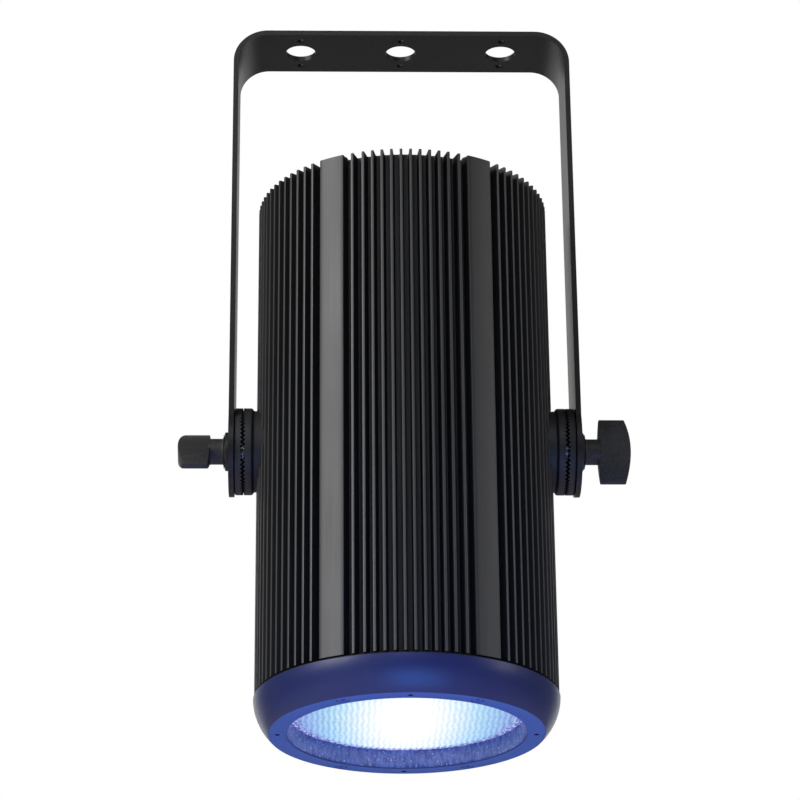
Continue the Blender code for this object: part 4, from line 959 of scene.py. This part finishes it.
def build_lens(looks):
    """A convex lens whose front carries the moulded relief, with a plain flange behind."""
    columns, rows = 460, 140
    radius = RECESS_RADIUS - 0.4 * MM
    edge_z = LENS_SEAT - 0.8 * MM
    crown = LENS_CROWN - LENS_RELIEF
    crown_radius = (radius ** 2 + crown ** 2) / (2 * crown)
    crown_centre = edge_z - crown + crown_radius
    flange_low = LENS_SEAT + SEAT_GAP
    flange_high = flange_low + 2.2 * MM
    bm = bmesh.new()

    def front_point(x, y):
        dome = crown_centre - math.sqrt(crown_radius ** 2 - x * x - y * y)
        return bm.verts.new((x, y, dome + lens_relief(x, y, radius)))

    grid = []
    for i in range(columns + 1):
        x = -radius * math.cos(math.pi * i / columns)
        reach = math.sqrt(max(0.0, radius ** 2 - x * x))
        if i in (0, columns):
            grid.append([front_point(x, 0.0)])
        else:
            grid.append([front_point(x, reach * (2 * j / rows - 1)) for j in range(rows + 1)])
    for column, following in zip(grid, grid[1:]):
        if len(column) == 1 or len(following) == 1:
            single, many = (column, following) if len(column) == 1 else (following, column)
            for first, second in zip(many, many[1:]):
                bm.faces.new((single[0], first, second))
        else:
            for j in range(rows):
                bm.faces.new((column[j], following[j], following[j + 1], column[j + 1]))
    loop = [column[0] for column in grid] + [column[-1] for column in reversed(grid[1:-1])]

    def ring_at(reach, z):
        outs = [vert.co.xy.normalized() * reach for vert in loop]
        return [bm.verts.new((*out, z)) for out in outs]

    flange = LENS_POCKET_RADIUS - SEAT_GAP
    rings = [loop, ring_at(radius, flange_low), ring_at(flange - 0.2 * MM, flange_low),
             ring_at(flange, flange_low + 0.2 * MM), ring_at(flange, flange_high)]
    skin(bm, rings)
    bm.faces.new(rings[-1])
    lens = make_object("moulded_lens", oriented(bm), [looks["lens"]], PIVOT, 60.0)
    stands_for(lens, "lamp", "moulded_lens", "lens")


# ---- rear end
def build_cover(looks):
    """The end cap: a flat crown, a sloping skirt and a spotfaced lug at each screw."""
    low = COVER_LOW
    seat = low + 1.0 * MM
    crown = COVER_HIGH
    radius = box_radius("rear_cover")
    outline = rounded([
        (0.0, low), (radius, low), (radius, low + SEAT_GAP, True),
        (COVER_CROWN_RADIUS, crown, True), (0.0, crown)], 0.8 * MM, 4)
    cover = make_object("rear_cap", turned(outline, 192), [looks["cover"]], PIVOT)
    join(cover, at_screws(COVER_LUG_RADIUS, low, seat + SEAT_GAP, 48))
    holes = at_screws(COVER_LUG_RADIUS + SEAT_GAP, seat, crown + MM, 48)
    holes += at_screws(1.8 * MM, low - MM, crown, 24)
    for centre, size in ((GLAND_PLACE, 8.3 * MM), (EYE_PLACE, 3.3 * MM), (VENT_PLACE, 4.3 * MM)):
        holes.append(moved(rod(size, low - MM, crown + MM, 40), (centre.x, centre.y, 0.0)))
    cut(cover, holes)
    stands_for(cover, "lamp", "black_cover_coat", "rear_cover")
    head = seat + SEAT_GAP
    shank = HEATSINK_HIGH - 10.0 * MM
    outline = [(0.0, shank), (1.1 * MM, shank), (1.45 * MM, shank + 0.6 * MM), (1.45 * MM, head),
               (2.9 * MM, head), (2.9 * MM, head + 1.0 * MM)]
    outline += arc((1.9 * MM, head + 0.8 * MM), 1.0 * MM, 12.0, 90.0, 5)
    outline += [(0.0, head + 1.8 * MM)]
    corner_screws("cap_screw", "cover_screw", outline, looks["black_steel"], 0.9 * MM,
                  head + 0.9 * MM, 1)


def build_vent(looks):
    """A breather plug: a low cap with slots round its skirt."""
    low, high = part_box("vent_plug")
    low_z, high_z = low.z - PIVOT_Z, high.z - PIVOT_Z
    seat = COVER_HIGH + SEAT_GAP
    radius = (high.x - low.x) / 2
    outline = rounded([
        (0.0, low_z), (3.9 * MM, low_z, True), (3.9 * MM, seat), (radius, seat),
        (radius, high_z - 1.0 * MM, True), (radius - 1.2 * MM, high_z, True), (0.0, high_z)],
        0.5 * MM, 3)
    plug = make_object("vent_cap", turned(outline, 64), [looks["plastic"]],
                       (VENT_PLACE.x, VENT_PLACE.y, PIVOT_Z))
    slot_count = 8
    slot_size = (1.2 * MM, 3.0 * MM, 1.3 * MM)
    cut(plug, [block(slot_size, (0.0, -radius, seat + 1.1 * MM), math.tau * k / slot_count)
               for k in range(slot_count)])
    stands_for(plug, "lamp", "black_plastic", "vent_plug")


def ribbed(outline, ribs, depth, low, high):
    """A turned solid whose outside between two heights is cut into grip ribs."""
    per_rib = 6
    grooves = [0.5 - 0.5 * math.cos(math.tau * k / per_rib) for k in range(ribs * per_rib)]
    rings = []
    for radius, z in outline:
        sink = depth if low < z < high and radius > 10.0 * MM else 0.0
        rings.append(ring_points([(radius - sink * groove, z) for groove in grooves]))
    return loft(rings)


def build_gland(looks):
    place = (GLAND_PLACE.x, GLAND_PLACE.y, PIVOT_Z)
    cable = 4.2 * MM
    bore = 5.8 * MM
    thread = 7.9 * MM
    root = thread - 0.5 * MM
    cap_bore = 8.25 * MM
    collar_low = COVER_HIGH + SEAT_GAP
    collar_high = collar_low + 5.0 * MM
    body_top = collar_high + 9.0 * MM
    body_low = COVER_LOW - 8.0 * MM
    outline = [(bore, body_low), (root, body_low)]
    pitch = 1.5 * MM
    for start, end in ((body_low + 0.5 * MM, collar_low - 0.3 * MM),
                       (collar_high + 0.3 * MM, body_top - 0.3 * MM)):
        outline += threads(start, int((end - start) / pitch), pitch, thread, root, 0.2)
        if end < collar_high:
            outline += [(thread, collar_low - 0.2 * MM), (10.6 * MM, collar_low),
                        (11.0 * MM, collar_low + 0.4 * MM), (11.0 * MM, collar_high - 0.4 * MM),
                        (10.6 * MM, collar_high), (thread, collar_high)]
    outline += [(thread - 0.4 * MM, body_top), (bore, body_top)]
    body = make_object("gland_stem", turned(outline, 72), [looks["plastic"]], place)
    flat_size = (16.0 * MM, 4.0 * MM, 5.0 * MM)
    flat_centre = (0.0, -11.9 * MM, (collar_low + collar_high) / 2)
    cut(body, [block(flat_size, flat_centre, math.tau * k / 6) for k in range(6)])
    stands_for(body, "lamp", "black_plastic", "gland_body")

    cap_low = collar_high + SEAT_GAP
    cap_top = body_top + 5.0 * MM
    outer = 10.6 * MM
    outline = [(cap_bore, cap_low), (outer - 0.4 * MM, cap_low), (outer, cap_low + 0.4 * MM),
               (outer, cap_low + 1.0 * MM), (outer, cap_low + 1.1 * MM)]
    grip_low, grip_high = cap_low + 1.05 * MM, cap_top - 5.5 * MM
    outline += [(outer, grip_low + (grip_high - grip_low) * k / 6) for k in range(1, 6)]
    outline += [(outer, grip_high + 0.1 * MM)]
    outline += arc((outer - 5.4 * MM, cap_top - 5.4 * MM), 5.4 * MM, 0.0, 72.0, 8)
    outline += [(cable + 0.5 * MM, cap_top), (cable, cap_top - 0.4 * MM),
                (cable, body_top + 1.2 * MM), (cap_bore, body_top + 1.2 * MM)]
    cap = make_object("gland_cap", ribbed(outline, 18, 0.5 * MM, grip_low, grip_high),
                      [looks["plastic"]], place, 40.0)
    stands_for(cap, "lamp", "black_plastic", "gland_nut")


def build_eye(looks):
    """The ring for the safety wire, on a collar and a threaded shank."""
    ring_radius = 9.0 * MM
    wire = 2.5 * MM
    collar_low = COVER_HIGH + SEAT_GAP
    collar_high = collar_low + 2.5 * MM
    centre = collar_high + ring_radius + wire * 0.4
    shank_low = COVER_LOW - 8.0 * MM
    outline = [(0.0, shank_low), (2.4 * MM, shank_low)]
    pitch = 1.0 * MM
    shank = 2.9 * MM
    outline += threads(shank_low + 0.5 * MM, int((collar_low - shank_low - 1.2 * MM) / pitch),
                       pitch, shank, 2.45 * MM, 0.15)
    outline += [(shank, collar_low), (5.6 * MM, collar_low), (6.0 * MM, collar_low + 0.4 * MM),
                (6.0 * MM, collar_high - 0.8 * MM)]
    outline += arc((5.0 * MM, collar_high - 1.0 * MM), 1.0 * MM, 12.0, 90.0, 4)
    outline += [(3.4 * MM, collar_high), (2.6 * MM, collar_high + 0.5 * MM),
                (0.0, collar_high + 0.6 * MM)]
    eye = make_object("safety_ring", turned(outline, 56), [looks["steel"]],
                      (EYE_PLACE.x, EYE_PLACE.y, PIVOT_Z))
    ring = turned([(ring_radius + x, y) for x, y in circle(wire * 0.985, 24)], 96)
    join(eye, [moved(spun(ring, math.pi / 2, "X"), (0.0, 0.0, centre))])
    stands_for(eye, "lamp", "zinc_steel", "safety_eye")


# ---- clamping knobs
def wing():
    """The knob's grip, long axis on Z, built along +X: rounded edges and slightly bowed ends."""
    stations = 44
    corner = 0.6 * MM
    end_round = 0.3 * MM
    rings = []
    for i in range(stations + 1):
        along = -math.cos(math.pi * i / stations)
        z = along * KNOB_LENGTH / 2
        half = (KNOB_END_THICKNESS + (KNOB_MIDDLE_THICKNESS - KNOB_END_THICKNESS)
                * (1 - along ** 2)) / 2
        from_end = KNOB_LENGTH / 2 - abs(z)
        shrink = 0.0
        if from_end < end_round:
            shrink = end_round - math.sqrt(end_round ** 2 - (end_round - from_end) ** 2)
        half -= shrink
        inner = KNOB_INNER_BOW * along ** 2 + shrink
        outer = KNOB_OUTER_X - KNOB_INNER_X - KNOB_END_PULLBACK * along ** 2 - shrink
        soft = min(corner, half * 0.6)
        section = []
        for end, inward, side, size, start in ((inner, 1, -1, soft * 0.5, 180.0),
                                               (outer, -1, -1, soft, 270.0),
                                               (outer, -1, 1, soft, 0.0),
                                               (inner, 1, 1, soft * 0.5, 90.0)):
            corner_centre = (end + inward * size, side * (half - size))
            section += arc(corner_centre, size, start, start + 90.0, 4)
        rings.append([(x, y, z) for x, y in section])
    return loft(rings, closed=False)


def build_knob(looks, label, side):
    half = YOKE_WIDTH / 2
    washer_low = half + SEAT_GAP
    washer_high = washer_low + KNOB_WASHER_THICKNESS
    shoulder = washer_high + SEAT_GAP
    fillet = 0.8 * MM
    outline = [(0.0, shoulder), (7.9 * MM, shoulder), (8.2 * MM, shoulder + 0.2 * MM)]
    outline += arc((KNOB_SHAFT_RADIUS + fillet, shoulder + 0.4 * MM + fillet), fillet,
                   240.0, 180.0, 5)
    outline += [(KNOB_SHAFT_RADIUS, KNOB_INNER_X - MM),
                (KNOB_SHAFT_RADIUS + 0.1 * MM, KNOB_INNER_X + MM), (0.0, KNOB_INNER_X + MM)]
    knob = make_object(f"wing_knob_{label}", moved(wing(), (KNOB_INNER_X, 0.0, 0.0)),
                       [looks["knob"]], angle=40.0)
    join(knob, [along_x(turned(outline, 64))], 40.0)
    bore_end = KNOB_INNER_X + 4.0 * MM
    cut(knob, [along_x(rod(STUD_HOLE_RADIUS, half - MM, bore_end, 40))], 40.0)
    washer = [(STUD_HOLE_RADIUS, washer_low), (KNOB_WASHER_RADIUS - 0.2 * MM, washer_low),
              (KNOB_WASHER_RADIUS, washer_low + 0.2 * MM),
              (KNOB_WASHER_RADIUS, washer_high - EDGE), (KNOB_WASHER_RADIUS - EDGE, washer_high),
              (STUD_HOLE_RADIUS, washer_high)]
    ring = make_object(f"clamp_washer_{label}", along_x(turned(washer, 80)),
                       [looks["black_steel"]])
    turn = Matrix.Rotation(math.radians(KNOB_TURNS[label]), 4, "X")
    if side < 0:
        turn = Matrix.Rotation(math.pi, 4, "Z") @ turn
    for piece in (knob, ring):
        piece.matrix_world = Matrix.Translation(PIVOT) @ turn
    stands_for(knob, f"knob_{label}", "black_textured_plastic", f"knob_{label}")
    stands_for(ring, f"knob_{label}", "black_steel", f"knob_washer_{label}")


# ---- nodes shown as the CAD has them, in their own materials
CARRIED = {
    "rubber": ("lens_seal", "gland_seal"),
    "black_steel": ("lens_retainer",),
    "mirror": ("reflector",),
    "ceramic": ("led_board", "terminal_block"),
    "phosphor": ("led_emitter",),
    "plastic": ("led_holder", "board_rail_left", "board_rail_right", "gland_locknut"),
    "aluminium": ("heat_spreader",),
    "board": ("driver_board",),
    "winding": ("transformer",),
    "component": ("bulk_capacitor", "filter_choke"),
    "red_wire": ("led_lead_red",),
    "black_wire": ("led_lead_black",),
    "steel": ("driver_bracket", "bracket_screw_left", "bracket_screw_right",
              "holder_screw_front", "holder_screw_back", "knob_stud_left", "knob_stud_right",
              "rosette_screw_left_upper", "rosette_screw_left_lower",
              "rosette_screw_right_upper", "rosette_screw_right_lower",
              "retainer_screw_1", "retainer_screw_2", "retainer_screw_3", "retainer_screw_4"),
}


def dress_carried(looks):
    for look, names in CARRIED.items():
        for name in names:
            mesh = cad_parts[name].data
            mesh.materials.clear()
            mesh.materials.append(looks[look])


# ---- studio
def area_light(name, size, power, colour, location, target, spread=180.0):
    data = bpy.data.lights.new(name, "AREA")
    data.shape = "RECTANGLE"
    data.size, data.size_y = size
    data.energy = power
    data.color = colour
    data.spread = math.radians(spread)
    lamp = bpy.data.objects.new(name, data)
    bpy.context.scene.collection.objects.link(lamp)
    lamp.location = location
    lamp.rotation_mode = "QUATERNION"
    lamp.rotation_quaternion = (Vector(target) - Vector(location)).to_track_quat("-Z", "Y")
    lamp.visible_camera = False


def pale_paper():
    """Floor paper that stays pale to the eye where little of the studio's light falls on it."""
    material = finish("pale_floor_paper", ((0.8, 0.8, 0.8), (0.84, 0.84, 0.84)), (0.7, 0.85),
                      0.0, 2.0, 0.02, 400.0)
    tree = material.node_tree
    shader = tree.nodes["Principled BSDF"]
    path = node(tree, "LightPath")
    lift = maths(tree, "MULTIPLY", path.outputs["Is Camera Ray"], FLOOR_LIFT)
    shader.inputs["Emission Color"].default_value = (1.0, 1.0, 1.0, 1.0)
    tree.links.new(lift, shader.inputs["Emission Strength"])
    return material


def build_studio():
    world = bpy.data.worlds.new("studio")
    bpy.context.scene.world = world
    world.use_nodes = True
    tree = world.node_tree
    tree.nodes.clear()
    path = node(tree, "LightPath")
    fill = node(tree, "Background", {"Color": (1.0, 1.0, 1.0, 1.0), "Strength": WORLD_FILL})
    white = node(tree, "Background", {"Color": (1.0, 1.0, 1.0, 1.0), "Strength": 1.0})
    mix = node(tree, "MixShader", {0: path.outputs["Is Camera Ray"], 1: fill.outputs[0],
                                   2: white.outputs[0]})
    node(tree, "OutputWorld", {"Surface": mix.outputs[0]})
    floor_z = (PIVOT + CAMERA_FROM_PIVOT).z - FLOOR_BELOW_CAMERA
    bm = bmesh.new()
    bmesh.ops.create_circle(bm, cap_ends=True, segments=96, radius=FLOOR_RADIUS)
    floor = make_object("pale_floor", bm, [pale_paper()], (0.0, 0.0, floor_z))

    centre = PIVOT + Vector((0.0, 0.0, 0.03))
    for name, size, power, colour, offset in SOFTBOXES:
        area_light(name, size, power, colour, centre + Vector(offset), centre)
    ring = PIVOT + Vector((0.0, -0.04, -0.14))
    area_light("lens_glow", (0.15, 0.16), 0.14, (0.05, 0.24, 1.0),
               ring + Vector((0.02, -0.19, -0.15)), ring, 110.0)
    area_light("lens_spill", (0.5, 0.2), 0.5, (0.62, 0.28, 1.0),
               PIVOT + Vector((0.0, 0.12, -0.6)), PIVOT)


def build_camera():
    data = bpy.data.cameras.new("camera")
    data.sensor_width = 36.0
    data.lens = CAMERA_LENS
    data.clip_start, data.clip_end = 0.05, 50.0
    camera = bpy.data.objects.new("camera", data)
    bpy.context.scene.collection.objects.link(camera)
    camera.matrix_world = Matrix.Translation(PIVOT + CAMERA_FROM_PIVOT)
    for degrees, axis in ((-CAMERA_YAW, "Z"), (90.0 + CAMERA_PITCH, "X"), (CAMERA_ROLL, "Z")):
        camera.matrix_world = camera.matrix_world @ Matrix.Rotation(math.radians(degrees), 4, axis)
    bpy.context.scene.camera = camera


# ---- build
looks = make_materials()
build_yoke(looks)
for side in (-1, 1):
    build_rosette(looks, side, False)
    build_rosette(looks, side, True)
build_heatsink(looks)
build_bezel(looks)
build_bezel_screws(looks)
build_gaskets(looks)
build_lens(looks)
build_cover(looks)
build_vent(looks)
build_gland(looks)
build_eye(looks)
build_knob(looks, "left", -1)
build_knob(looks, "right", 1)
dress_carried(looks)
build_studio()
build_camera()
bpy.context.scene.view_settings.view_transform = "Standard"
